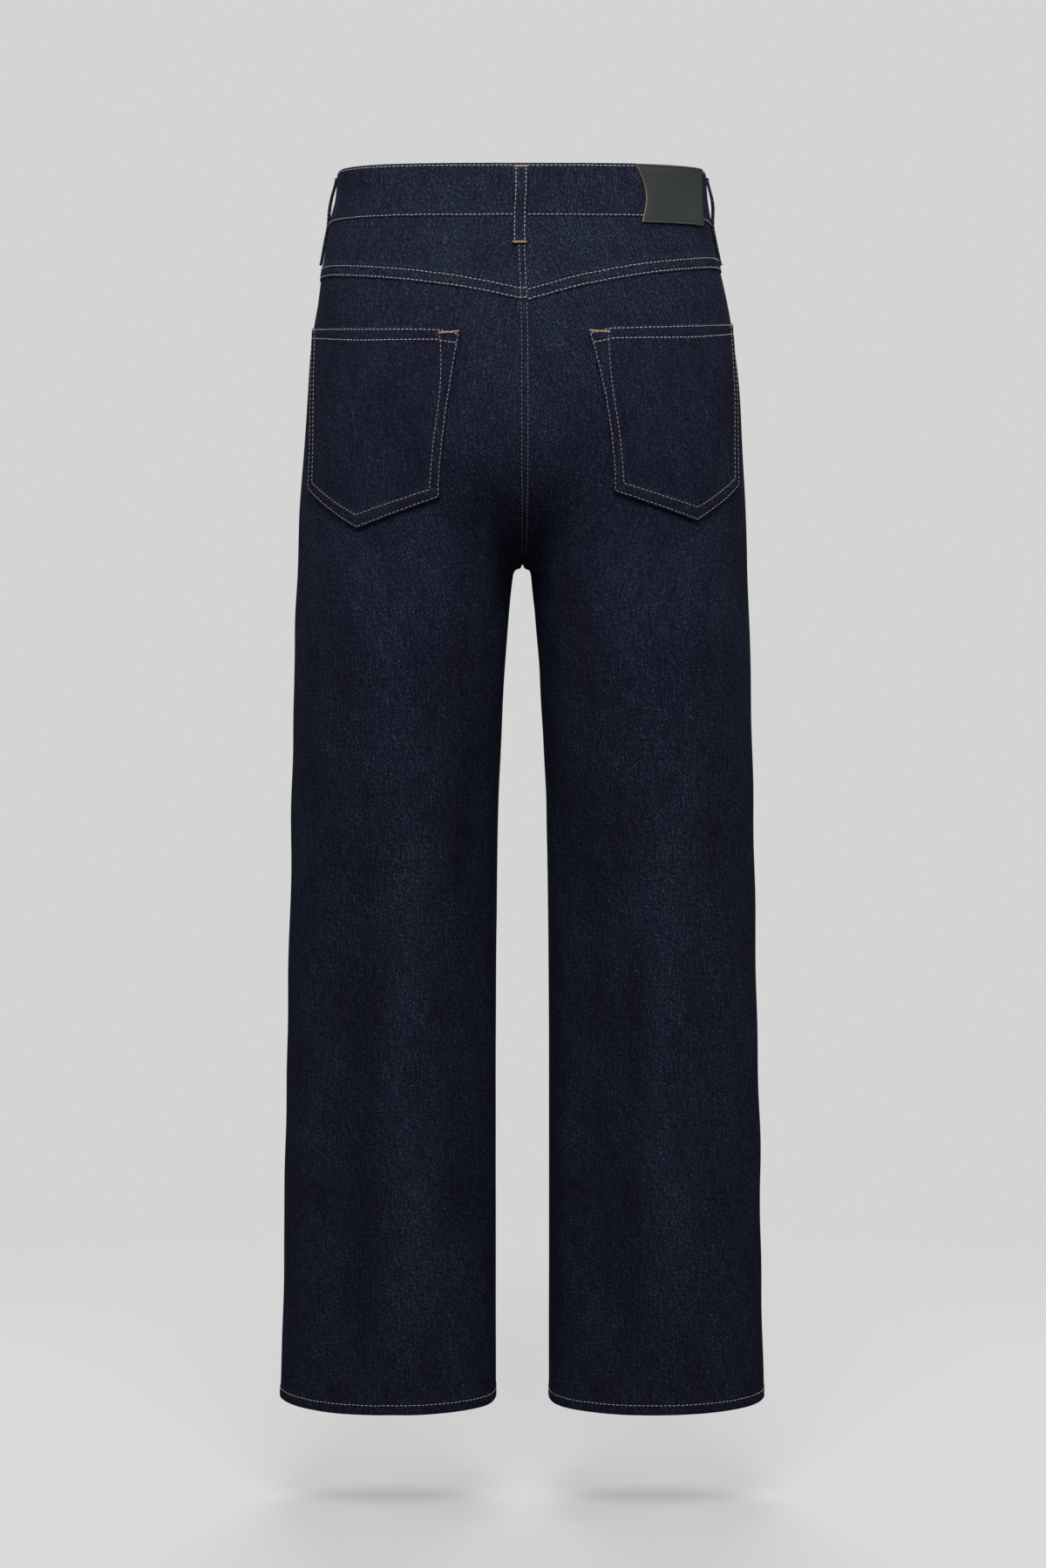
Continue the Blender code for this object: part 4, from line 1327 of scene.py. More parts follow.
@dataclass
class BackPanel:
    """A back panel from the yoke seam to the hem. The left one laps over the right along the centre."""

    side: Side
    columns: int = 92
    lap: float = 0.004
    fell: float = 0.0075
    lines: Pair = (0.0012, 0.0078)
    lean: float = -0.22

    def lap_turn(self, level: Array) -> Array:
        """How far the left panel runs past the centre, as a turn: nothing below the crotch."""
        fade = ease((level - FORM.crotch - 0.0015) / 0.012)
        step = 0.01
        run = FORM.smooth_face(1.0, level) - FORM.smooth_face(1.0 - step, level)
        return self.lap * fade * step / np.linalg.norm(run, axis=-1)

    def from_lap(self, turn: Array, level: Array) -> Array:
        """The distance in from the left panel's lapped edge."""
        return (1.0 + self.lap_turn(level) - turn) * FORM.turn_length

    def lift(self, turn: Array, level: Array) -> Array:
        """The outer face's lift: the felled ridge and its edge, the side groove, the inseam and the hem."""
        from_centre = (1.0 - turn) * FORM.turn_length
        torso = FORM.torso(level)
        lift = HEM.lift(turn, level)
        if self.side is Side.LEFT:
            end = self.from_lap(turn, level)
            lift = lift + SEAMS.ridge * torso * ease((self.fell - from_centre) / 0.0025)
            lift = lift - torso * (rounded_edge(end, SEAMS.cut_edge) + SEAMS.channels(end, *self.lines))
        inseam = SEAMS.grooved(np.abs(from_centre)) * (1.0 - torso)
        return lift - SEAMS.grooved(FORM.from_side(turn)) - inseam

    def wear(self, turn: Array, level: Array) -> Array:
        """Paler on the lapped edge and the side seam's shoulders where abraded, darker along the stitches
        as painted shade in their channels, and the folds' paler ridges and painted shade in their troughs.
        """
        wear = HEM.wear(level) + FORM.rubbed(turn, level, self.side)
        wear = wear + 0.2 * bell(FORM.from_side(turn) - 0.002, 0.0012)
        if self.side is Side.LEFT:
            end = self.from_lap(turn, level)
            fade = ease((level - FORM.crotch) / 0.02)
            wear = wear + fade * (0.9 * bell(end, 0.0007) - 0.3 * SEAMS.marks(end, *self.lines))
        return wear

    def build(self) -> None:
        """Build the panel from a little above the yoke seam, where the yoke covers it, to the hem."""
        share = finer_ends(self.columns, SEAM_STEPS, 0.28)[None, :]
        turns = back_turns(self.side, share, self.lap_turn(leg_levels()[:, None]))
        turns, levels = from_top(FORM.yoke_level(turns[:1], self.side) + SEAMS.tuck, turns)
        lifts = SEAMS.faces(self.lift(turns, levels), HEM.inner(levels))
        lean = self.lean * ease((levels + 0.33) / 0.2) * self.side.value
        wear = self.wear(turns, levels)
        Sheet.on_form(f"back_{self.side.label}", turns, levels, lifts, wear, lean).make(DENIM)

    def sew(self) -> None:
        """Sew the two lines down the felled centre seam."""
        levels = np.linspace(FORM.yokes[0].centre_level - 0.001, FORM.crotch + 0.013, 160)
        lines = []
        for line in self.lines:
            turns = 1.0 + self.lap_turn(levels) - line / FORM.turn_length
            lines.append(FORM.line(turns, levels, self.lift(turns, levels)))
        # The seat seam's thread is a darker copy of the beige one, as painted shade.
        Sewing(radius=0.00023).sew("seat_seam_stitches", lines, Yarn.FADED)


@dataclass
class YokePiece:
    """A yoke: the shaped strip between waistband and back panel, folded under and sewn along its foot."""

    side: Side
    columns: int = 96
    rows: int = 14
    lower: tuple[float, ...] = (
        0.0, 0.0002, 0.0005, 0.0009, 0.0016, 0.0023, 0.0032, 0.0045, 0.0058, 0.007,
        0.0078, 0.0086, 0.0094, 0.0104, 0.0116, 0.013, 0.015,
    )
    band: float = 0.0128
    pucker: float = 0.00014
    pucker_length: float = 0.0105
    lean: float = -0.2

    def lap(self) -> float:
        """How far the left yoke runs past the centre, as a turn."""
        return float(BackPanel(Side.LEFT).lap_turn(np.array(FORM.yokes[0].centre_level)))

    def lift(self, turn: Array, level: Array) -> Array:
        """The outer face's lift: the folded band above the seam, its puckers and stitches, and the lap."""
        foot = level - FORM.yoke_level(turn, self.side)
        run = turn * FORM.turn_length
        wave = np.sin(CIRCLE * (run / self.pucker_length + 0.6 * np.sin(run / 0.017)))
        lift = SEAMS.ridge * ease((self.band - foot) / 0.003)
        lift = lift + self.pucker * wave * bell(foot - 0.005, 0.003) - SEAMS.channels(foot, *SEAMS.lines)
        lift = lift - rounded_edge(foot, SEAMS.folded_edge) - SEAMS.grooved(FORM.from_side(turn))
        if self.side is Side.LEFT:
            back = BackPanel(Side.LEFT)
            end = (1.0 + self.lap() - turn) * FORM.turn_length
            ridge = SEAMS.ridge * ease((back.fell + back.lap - end) / 0.0025)
            lift = np.maximum(lift, lift * 0.4 + ridge)
            lift = lift - rounded_edge(end, SEAMS.cut_edge) - SEAMS.channels(end, *back.lines)
        return lift

    def wear(self, turn: Array, level: Array) -> Array:
        """Paler on the folded foot and the lapped edge where abraded, darker along the stitches as painted
        shade in their channels.
        """
        foot = level - FORM.yoke_level(turn, self.side)
        wear = 0.45 * bell(foot, 0.0008) - 0.35 * SEAMS.marks(foot, *SEAMS.lines)
        wear = wear + 0.1 * bell(foot - 0.005, 0.0025)
        if self.side is Side.LEFT:
            wear = wear + 0.6 * bell((1.0 + self.lap() - turn) * FORM.turn_length, 0.0007)
        return wear

    def build(self) -> None:
        """Build the yoke from under the waistband to its folded foot."""
        turns = back_turns(self.side, finer_ends(self.columns, SEAM_STEPS, 0.25)[None, :], self.lap())
        lower = FORM.yoke_level(turns, self.side) + np.array(self.lower)[::-1, None]
        top = FORM.band_foot + SEAMS.tuck
        upper = top + (lower[:1] - top) * np.linspace(0.0, 1.0, self.rows)[:-1, None]
        turns, levels = paired(turns, np.concatenate([upper, lower]))
        lifts = SEAMS.faces(self.lift(turns, levels), -SEAMS.denim)
        wear, lean = self.wear(turns, levels), self.lean * self.side.value
        Sheet.on_form(f"yoke_{self.side.label}", turns, levels, lifts, wear, lean).make(DENIM)

    def sew(self) -> None:
        """Sew two lines along the foot, and on the left also the two down the lap."""
        end = 1.0 + self.lap()
        turns = np.linspace(*self.side.pick(((0.502, end - 0.002), (end, 1.496))), 260)
        lines = []
        for line in SEAMS.lines:
            levels = FORM.yoke_level(turns, self.side) + line
            lines.append(FORM.line(turns, levels, self.lift(turns, levels)))
        STITCH.sew(f"yoke_stitches_{self.side.label}", lines, Yarn.BEIGE)
        if self.side is Side.LEFT:
            self.sew_lap()

    def sew_lap(self) -> None:
        """Sew the two lines of the felled seam, from the waistband to the yoke's foot."""
        levels = np.linspace(FORM.band_foot, FORM.yokes[0].centre_level + 0.001, 60)
        lines = []
        for line in BackPanel(Side.LEFT).lines:
            turns = np.full_like(levels, 1.0 + self.lap() - line / FORM.turn_length)
            lines.append(FORM.line(turns, levels, self.lift(turns, levels)))
        Sewing(radius=0.00027).sew("yoke_seam_stitches", lines, Yarn.DULL)


@dataclass
class FrontPanel:
    """A front panel from waistband to hem, with the pocket mouth scooped out of its outer corner."""

    side: Side
    scoop_start: float = 0.27
    scoop_depth: float = 0.078
    lap: float = 0.0035
    fly_width: float = 0.036
    fly_length: float = 0.15
    fly_bend: float = 0.0414
    least_fly: float = 0.0065
    mouth_lines: Pair = (0.0016, 0.0081)
    fly_lines: Pair = (0.0015, 0.008)
    rise_lines: Pair = (0.0014, 0.0079)
    tacks: tuple[Place, Place] = ((0.266, -0.027, 1.4), (0.488, -0.101, 0.1))
    before: int = 58
    after: int = 46

    @property
    def scoop_width(self) -> float:
        """The pocket mouth's width round the cloth."""
        return (0.5 - self.scoop_start) * FORM.turn_length

    def lap_fade(self, level: Array) -> Array:
        """1 where the left panel laps over the right, fading to 0 at the crotch."""
        return ease((level - FORM.crotch - 0.002) / 0.014)

    def share(self) -> Array:
        """The columns as shares of half a turn, closer together where the pocket mouth starts down."""
        start = self.scoop_start
        edge = np.array([0.0, 0.0004, 0.001, 0.002, 0.0035]) / FORM.turn_length
        before = np.concatenate([edge, np.linspace(edge[-1], start, self.before)[1:]])
        after = start + (0.5 - start) * np.sin(np.linspace(0.0, math.pi / 2, self.after)) ** 2
        near_side = 0.5 - np.array([0.0022, 0.0012, 0.0006, 0.0]) / FORM.turn_length
        after = after[(after > start) & (after < near_side[0])]
        return np.concatenate([before, after, near_side])[None, :]

    def lap_turn(self, level: Array) -> Array:
        """How far the left panel runs past the centre, as a turn: nothing below the crotch."""
        return self.lap / FORM.turn_length * self.lap_fade(level)

    def scoop(self, own: Array) -> Array:
        """The front's top: the waistband, then the pocket mouth, steep at first and level at the side."""
        left_over = np.clip((0.5 - own) / (0.5 - self.scoop_start), 0.0, 1.0)
        return -self.scoop_depth * np.sqrt(1.0 - left_over**2)

    def edge_distance(self, own: Array, level: Array) -> Array:
        """How far a place lies below the pocket mouth, about square to it."""
        x = (0.5 - own) * FORM.turn_length / self.scoop_width
        z = (FORM.band_foot - level) / self.scoop_depth
        reach = np.sqrt(x**2 + z**2)
        slope = np.hypot(x / self.scoop_width, z / self.scoop_depth) / np.maximum(reach, HAIR)
        return (reach - 1.0) / slope

    def lift(self, own: Array, level: Array) -> Array:
        """The outer face's lift: the mouth's turned edge, the fly's lap, the seams and the hem."""
        mouth = self.edge_distance(own, level)
        in_scoop = own > self.scoop_start - 0.02
        lift = HEM.lift(own, level)
        turned = 0.0006 * ease((0.0115 - mouth) / 0.003) - rounded_edge(mouth, SEAMS.folded_edge)
        lift = lift + np.where(in_scoop, turned - SEAMS.channels(mouth, *self.mouth_lines), 0.0)
        torso, run = FORM.torso(level), own * FORM.turn_length
        lift = lift - SEAMS.grooved(FORM.from_side(own)) - (1.0 - torso) * SEAMS.grooved(run)
        if self.side is Side.LEFT:
            foot = FORM.band_foot - self.fly_length
            reach = np.maximum(self.fly_width * self.fly_curve(level, foot), self.least_fly)
            lift = lift + torso * SEAMS.ridge * ease((reach - run) / 0.002)
        return lift

    def fly_curve(self, level: Array, foot: float) -> Array:
        """The fly's outline as a share of its width: straight, then a quarter turn in to the seam."""
        above = np.clip((level - foot) / self.fly_bend, 0.0, 1.0)
        return np.sqrt(1.0 - (1.0 - above) ** 2)

    def build(self) -> None:
        """Build the panel; its left one laps over the right at the centre front."""
        share, below = self.share(), leg_levels()[:, None]
        own = np.broadcast_to(share, (len(below), share.shape[1]))
        if self.side is Side.LEFT:
            own = own - self.lap_turn(below) * (1.0 - own / 0.5)
        top = FORM.band_foot + self.scoop(share) + SEAMS.tuck * (share < self.scoop_start)
        own, levels = from_top(top, own, 1.25)
        lift = self.lift(np.abs(own), levels)
        if self.side is Side.LEFT:
            end = (own + self.lap_turn(levels)) * FORM.turn_length
            lift = lift - self.lap_fade(levels) * rounded_edge(end, SEAMS.cut_edge)
            turns = own
        else:
            levels, lift, own = (np.flip(part, axis=1) for part in (levels, lift, own))
            turns = np.minimum(2.0 - own, 2.0 - 1e-9)
        lifts = SEAMS.faces(lift, HEM.inner(levels))
        scooped = own > self.scoop_start - 0.02
        wear = np.where(scooped, 0.45 * bell(self.edge_distance(own, levels), 0.0008), 0.0)
        # The hem's painted shade along its stitches, and the folds' paler ridges and painted shade in their
        # troughs.
        wear = wear + HEM.wear(levels) + FORM.rubbed(turns, levels, self.side)
        Sheet.on_form(f"front_{self.side.label}", turns, levels, lifts, wear).make(DENIM)

    def mouth_line(self, distance: float) -> Line:
        """A line of stitches round the pocket mouth at a distance below its edge."""
        angle = np.linspace(0.02, math.pi / 2 - 0.01, 120)
        own = 0.5 - (self.scoop_width + distance) * np.cos(angle) / FORM.turn_length
        levels = FORM.band_foot - (self.scoop_depth + distance) * np.sin(angle)
        return FORM.line(self.side.turn(own), levels, self.lift(own, levels))

    def fly_line(self, inset: float) -> Line:
        """The J-shaped line that holds the fly's facing, at a distance inside its outline."""
        foot = FORM.band_foot - self.fly_length + inset
        bend = self.fly_bend * (1.0 - np.sin(np.linspace(0.0, math.pi / 2, 60)))
        levels = np.concatenate([np.linspace(FORM.band_foot, foot + bend[0], 60), foot + bend[1:]])
        turns = (self.fly_width - inset) * self.fly_curve(levels, foot) / FORM.turn_length
        return FORM.line(turns, levels, self.lift(turns, levels))

    def rise_line(self, distance: float) -> Line:
        """A line of stitches beside the centre seam, from the foot of the fly to the crotch."""
        levels = np.linspace(FORM.band_foot - self.fly_length, FORM.crotch + 0.014, 70)
        turns = distance / FORM.turn_length - self.lap_turn(levels)
        return FORM.line(turns, levels, self.lift(np.abs(turns), levels))

    def sew(self) -> None:
        """Sew the pocket mouth, and on the left the fly and the seam below it."""
        lines = [self.mouth_line(distance) for distance in self.mouth_lines]
        STITCH.sew(f"pocket_mouth_stitches_{self.side.label}", lines, Yarn.BEIGE)
        if self.side is Side.LEFT:
            lines = [self.fly_line(inset) for inset in self.fly_lines]
            lines += [self.rise_line(distance) for distance in self.rise_lines]
            STITCH.sew("fly_stitches", lines, Yarn.BEIGE)
        self.tack()

    def tack(self) -> None:
        """Bar tacks at the ends of the pocket mouth, and on the left at the foot of the fly."""
        bars = []
        for own, level, lean in self.tacks:
            lift = float(self.lift(np.array(own), np.array(level)))
            bars.append(tack_place(self.side.turn(own), level, lift, lean))
        if self.side is Side.LEFT:
            bars.append(tack_place(0.006, FORM.band_foot - self.fly_length + 0.004, 0.001, 0.5))
        BarTack(length=0.0075).sew(f"front_tacks_{self.side.label}", bars, Yarn.GOLD)


def tack_place(turn: float, level: float, lift: float, lean: float) -> Stitches:
    """Where a bar tack lies.

    Args:
        turn: its turn.
        level: its level.
        lift: the cloth's lift there.
        lean: the angle in radians from level, seen from outside.

    Returns:
        The bar, as one stitch.
    """
    middle, out = (part[0] for part in FORM.line(np.array([turn]), np.array([level]), lift))
    right = unit(np.cross(UP, out))
    return Stitches(middle, right * math.cos(lean) + np.cross(out, right) * math.sin(lean), out)


@dataclass
class PocketFacing:
    """The denim that shows inside the front pocket's mouth, set behind the front panel."""

    side: Side
    lap: float = 0.035
    drop: float = 0.012
    thickness: float = 0.001
    behind: float = 0.002

    def build(self) -> None:
        """Build the facing from the waistband to below the mouth, out to the side seam."""
        panel = FrontPanel(self.side)
        own = np.linspace(panel.scoop_start - self.lap, 0.5 - 0.0004, 60)[None, :]
        foot = FORM.band_foot - panel.scoop_depth - self.drop
        levels = np.linspace(FORM.band_foot + 0.001, foot, 44)[:, None]
        own, levels = paired(own, levels)
        turns = self.side.turn(self.side.pick((own, own[:, ::-1])))
        lifts = -self.behind, -self.behind - self.thickness
        Sheet.on_form(f"pocket_facing_{self.side.label}", turns, levels, lifts).make(POCKET_DENIM)


@dataclass
class FlyShield:
    """The tongue of denim behind the front opening."""

    width: float = 0.042
    length: float = 0.128
    behind: float = 0.002

    def build(self) -> None:
        """Build the tongue: straight sides that draw in to a rounded foot."""
        down = np.linspace(0.0, 1.0, 50)[:, None]
        levels = FORM.band_foot - 0.0003 - self.length * down
        reach = self.width / 2 * np.sqrt(1.0 - 0.75 * down**6)
        turns = reach * np.linspace(-1.0, 1.0, 25)[None, :] / FORM.turn_length
        turns, levels = paired(turns, levels)
        lifts = -self.behind, -self.behind - SEAMS.denim
        Sheet.on_form("fly_shield", turns, levels, lifts).make(DENIM)


@dataclass
class BackPocket:
    """A patch pocket on the back panel, turned in all round and sewn with two lines."""

    side: Side
    lying: float = 0.0005
    swell: float = 0.0012
    top_lines: Pair = (0.0014, 0.0079)
    edge_lines: Pair = (0.0014, 0.0084)
    inner_line: float = 0.0078
    inner_flare: float = 0.008
    flare_depth: float = 0.42
    soft: float = 0.006
    steps: tuple[float, ...] = (
        0.0, 0.0002, 0.0006, 0.001, 0.0016, 0.0024, 0.0035, 0.0048, 0.0062, 0.0074, 0.0086, 0.01, 0.0125,
    )
    cuts: tuple[Pocket, Pocket] = (
        Pocket(
            Corner(0.0465, -0.104), Corner(0.195, -0.103), Corner(0.0625, -0.2285),
            Corner(0.129, -0.2535), Corner(0.186, -0.225), 1.65,
        ),
        Pocket(
            Corner(0.048, -0.1035), Corner(0.196, -0.099), Corner(0.0675, -0.224),
            Corner(0.1355, -0.248), Corner(0.1865, -0.2225), 1.85,
        ),
    )

    @property
    def cut(self) -> Pocket:
        """This side's cut."""
        return self.side.pick(self.cuts)

    def corner_run(self, across: Array, down: Array) -> tuple[Array, Array]:
        """Map shares across and down the pocket to distances round the cloth and levels.

        The inner edge sweeps from the foot's corner out to the top's with a power of the share left, the
        outer edge is straight, and the foot runs down to the point in two straight pieces with a soft
        turn between.
        """
        cut = self.cut
        knots = (0.0, (cut.point.across - cut.foot_inner.across) / cut.foot_width, 1.0)
        runs, depths = zip(cut.foot_inner, cut.point, cut.foot_outer)
        foot_across = np.interp(across, knots, runs)
        shifts = (-self.soft, 0.0, self.soft)
        foot_level = sum(np.interp(across + shift, knots, depths) for shift in shifts) / 3
        top_across = cut.top_inner.across + cut.top_width * across
        top_level = cut.top_inner.level + (cut.top_outer.level - cut.top_inner.level) * across
        top_level = top_level + 0.003 * ease(across / 0.14) - 0.0015
        straight = top_across + (foot_across - top_across) * down
        lean = cut.foot_inner.across - cut.top_inner.across
        flare = lean * (1.0 - (1.0 - down) ** cut.sweep - down)
        near = np.clip(1.0 - across / 0.35, 0.0, 1.0)
        return straight + flare * near, top_level + (foot_level - top_level) * down

    def edges(self, across: Array, down: Array) -> tuple[Array, Array, Array, Array]:
        """The distances of a place from the inner edge, the outer edge, the top and the foot."""
        cut = self.cut
        wide = cut.top_width * (1.0 - down) + cut.foot_width * down
        return across * wide, (1.0 - across) * wide, down * cut.height, (1.0 - down) * cut.height * 0.93

    def second_line(self, down: Array) -> Array:
        """How far the inner edge's second line lies in: it starts wide, where the pocket flares out."""
        left = 1.0 - np.clip(down / self.flare_depth, 0.0, 1.0)
        return self.inner_line + self.inner_flare * left**1.7

    def lift(self, across: Array, down: Array) -> Array:
        """The outer face's lift: turned edges, lines pulled in, and a slight swell in the middle."""
        inner, outer, top, foot = self.edges(across, down)
        sewn = np.minimum(outer, foot)
        edge = np.minimum(np.minimum(inner, sewn), top)
        turned = 0.0005 * ease((0.0105 - edge) / 0.0025)
        swell = self.swell * np.sin(math.pi * across) * np.sin(math.pi * np.clip(down, 0.0, 1.0) ** 0.8)
        first, second = self.edge_lines
        pull = SEAMS.channels(top, *self.top_lines) + SEAMS.channels(np.minimum(sewn, inner), first)
        pull = pull + SEAMS.channels(sewn, second) + SEAMS.channels(inner - self.second_line(down), 0.0)
        pull = np.minimum(pull, SEAMS.channel * 1.3)
        return self.lying + SEAMS.denim + turned + swell - pull - rounded_edge(edge, 0.0008)

    def surface(self, across: Array, down: Array) -> tuple[Array, Array]:
        """The turn and level of a place on the pocket."""
        run, levels = self.corner_run(across, down)
        return self.side.turn(FORM.turn_at(run, levels)), levels

    def build(self) -> None:
        """Build the pocket as a closed sheet that lies on the panel."""
        across = finer_ends(46, self.steps, 0.14)[None, :]
        down = finer_ends(46, self.steps, 0.125)[:, None]
        across, down = paired(self.side.pick((across[:, ::-1], across)), down)
        turns, levels = self.surface(across, down)
        edge = np.minimum.reduce(self.edges(across, down))
        # Paler on the turned edges where abraded, darker along the first line of stitches as painted shade
        # in its channel.
        wear = 0.4 * bell(edge, 0.0008) - 0.3 * SEAMS.marks(edge, self.edge_lines[0])
        lifts, lean = (self.lift(across, down), self.lying - 0.0006), -0.1 * self.side.value
        sheet = Sheet.on_form(f"back_pocket_{self.side.label}", turns, levels, lifts, wear, lean)
        sheet.make(POCKET_DENIM, f"back_{self.side.label}_cloth")

    def line(self, across: Array, down: Array) -> Line:
        """A line of stitches through places on the pocket."""
        turns, levels = self.surface(across, down)
        return FORM.line(turns, levels, self.lift(across, down))

    def sew(self) -> None:
        """Sew two lines along the top's hem, and two down the sides and along the foot."""
        cut = self.cut
        tall = cut.height * 0.965
        steps, foot_steps = np.linspace(0.0, 1.0, 90), np.linspace(0.0, 1.0, 160)
        near = 0.0015 / cut.top_width
        top_run = near + (1.0 - 2.0 * near) * steps
        top_lines = [self.line(top_run, np.full(90, inset / tall)) for inset in self.top_lines]
        lines = []
        start = self.edge_lines[0] / tall
        for inset in self.edge_lines:
            down = start + (1.0 - inset / tall - start) * steps
            span = cut.top_width + (cut.foot_width - cut.top_width) * down
            inner = self.second_line(down) if inset > self.edge_lines[0] else np.full(90, inset)
            lines += [self.line(inner / span, down), self.line(1.0 - inset / span, down)]
            last = inner[-1] / cut.foot_width
            foot_run = last + (1.0 - last - inset / cut.foot_width) * foot_steps
            lines.append(self.line(foot_run, np.full(160, 1.0 - inset / tall)))
        STITCH.sew(f"back_pocket_hem_stitches_{self.side.label}", top_lines, Yarn.BEIGE)
        STITCH.sew(f"back_pocket_stitches_{self.side.label}", lines, Yarn.DULL)
        self.tack("inner", 0.0085 / cut.top_width, 0.015, -0.09)
        self.tack("outer", 1.0 - 0.004 / cut.top_width, 0.006, 0.0)

    def tack(self, corner: str, across: float, length: float, lean: float) -> None:
        """Sew a bar tack on the top edge, of a length and lean, at a share across."""
        at = np.array([across]), np.array([self.top_lines[0] / (self.cut.height * 0.965)])
        turns, levels = self.surface(*at)
        lift = float(self.lift(*at)[0])
        bar = tack_place(float(turns[0]), float(levels[0]), lift, -lean * self.side.value)
        needle = BarTack(length=length, height=0.0014, threads=int(length / 0.00062))
        needle.sew(f"pocket_tack_{self.side.label}_{corner}", [bar], Yarn.GOLD)


@dataclass
class BeltLoop:
    """A belt loop: flat on the waistband at its top and foot, and standing off it between."""

    name: str
    turn: float
    foot: float
    shift: float = 0.0
    width: float = 0.0105
    thickness: float = 0.002
    top: float = 0.0185
    lying: float = 0.0005
    stand: float = 0.003
    fullness: float = 1.6
    columns: tuple[float, ...] = (0.0, 0.3, 0.6, 0.76, 0.88, 0.96, 1.0)

    def face(self, across: Array, level: Array, lift: Array | float) -> Line:
        """Points on the loop and the direction out of it.

        Args:
            across: from -1 at its left edge to 1 at its right, seen from outside.
            level: where along it.
            lift: how far outside its back face.

        Returns:
            The middle line stood off the band by a half wave, moved across level with the band.
        """
        across, level = paired(across, level)
        down = (self.top - level) / (self.top - FORM.band_foot)
        stand = self.stand * np.sin(math.pi * np.clip(down, 0.0, 1.0)) ** self.fullness
        turn = np.full_like(level, self.turn)
        own, sign = FORM.own_turn(turn)
        middle = FORM.smooth_face(own, level)
        middle[..., 0] *= sign
        middle = middle + FORM.sway(level)
        out = unit(FORM.outward(turn, level) * (1.0 - UP))
        reach = (across * self.width / 2 + self.shift)[..., None]
        aside = np.cross(UP, out) * reach
        return middle + aside + out * (self.lying + stand + lift)[..., None], out

    def build(self) -> None:
        """Build the loop with rounded edges and its centre a little full, and sew it."""
        levels = np.linspace(self.top, self.foot, 46)[:, None]
        half = np.array(self.columns)
        across = np.concatenate([-half[:0:-1], half])[None, :]
        edge = (1.0 - np.abs(across)) * self.width / 2
        ends = np.minimum(self.top - levels, levels - self.foot)
        drop = rounded_edge(edge, 0.0008) + rounded_edge(ends, 0.0008)
        full = 0.0002 * np.cos(across * math.pi / 2)
        pull = 0.00025 * bell(np.abs(across) - 0.72, 0.1)
        outer, _ = self.face(across, levels, self.thickness - drop + full - pull)
        inner, _ = self.face(across, levels, drop * 0.6)
        wear = 0.45 * bell(edge, 0.0007)
        Sheet(self.name, outer, inner, levels, wear, 0.15).make(BAND_DENIM, "waistband_cloth")
        self.sew()

    def sew(self) -> None:
        """Sew a line near each edge, and a bar tack at the top and the foot."""
        levels = np.linspace(self.top - 0.0015, self.foot + 0.002, 60)
        lift = self.thickness - 0.0001
        lines = [self.face(np.full(60, across), levels, lift) for across in (-0.7, 0.7)]
        needle = Sewing(pitch=0.0032, visible=0.0025, radius=0.00028)
        needle.sew(f"{self.name}_stitches", lines, Yarn.BEIGE)
        bars = []
        for level in (self.top - 0.001, self.foot + 0.0012):
            middle, out = (part[0] for part in self.face(np.zeros(1), np.array([level]), self.thickness))
            bars.append(Stitches(middle, np.cross(UP, out), out))
        BarTack(length=0.0096, height=0.0017).sew(f"{self.name}_tacks", bars, Yarn.GOLD)


@dataclass
class Patch:
    """The leather patch on the waistband, bare, with dark stitches along its top and foot."""

    top_inner: float = 0.0848
    foot_inner: float = 0.092
    outer_edge: float = 0.15
    top: float = 0.0196
    foot: float = -0.0236
    bow: float = 0.0052
    lying: float = 0.0008
    thickness: float = 0.0014
    line_inset: float = 0.0018
    width: float = 0.06
    height: float = 0.042

    def surface(self, across: Array, down: Array) -> tuple[Array, Array]:
        """The turn and level of a share across, from the outer edge seen last, and down the patch."""
        levels = self.top + (self.foot - self.top) * down
        inner = self.top_inner + (self.foot_inner - self.top_inner) * down
        inner = inner + self.bow * np.sin(math.pi * down)
        run = inner + (self.outer_edge - inner) * across
        levels, run = np.broadcast_arrays(levels, run)
        return 2.0 - FORM.turn_at(run, levels), levels

    def build(self) -> None:
        """Build the patch with its tan cut edges, and sew its top and foot."""
        steps = (0.0, 0.0001, 0.0003, 0.0006, 0.0012)
        across = finer_ends(44, steps, self.width)[None, :]
        across, down = paired(across, finer_ends(30, steps, self.height)[:, None])
        turns, levels = self.surface(across, down)
        ends = np.minimum(down, 1.0 - down) * self.height
        edge = np.minimum(np.minimum(across, 1.0 - across) * self.width, ends)
        pull = 0.00018 * bell(ends - self.line_inset, 0.001)
        bend = 0.00025 * np.sin(across * 5.1 + down * 2.3) * ease(edge / 0.006)
        lift = self.lying + self.thickness - rounded_edge(edge, 0.00035) - pull + bend
        wear = ease((0.00045 - edge) / 0.0003)
        sheet = Sheet.on_form("patch", turns, levels, (lift, self.lying - 0.0006), wear)
        sheet.make(Leather(), "waistband_cloth", "leather_piece")
        self.sew()

    def sew(self) -> None:
        """Sew two lines in thread of the leather's colour."""
        lines = []
        for inset in (self.line_inset, self.height - self.line_inset):
            turns, levels = self.surface(np.linspace(0.03, 0.97, 80), np.full(80, inset / self.height))
            lines.append(FORM.line(turns, levels, self.lying + self.thickness - 0.00015))
        needle = Sewing(pitch=0.0028, visible=0.0021, radius=0.00026)
        needle.sew("patch_stitches", lines, Yarn.GREEN)


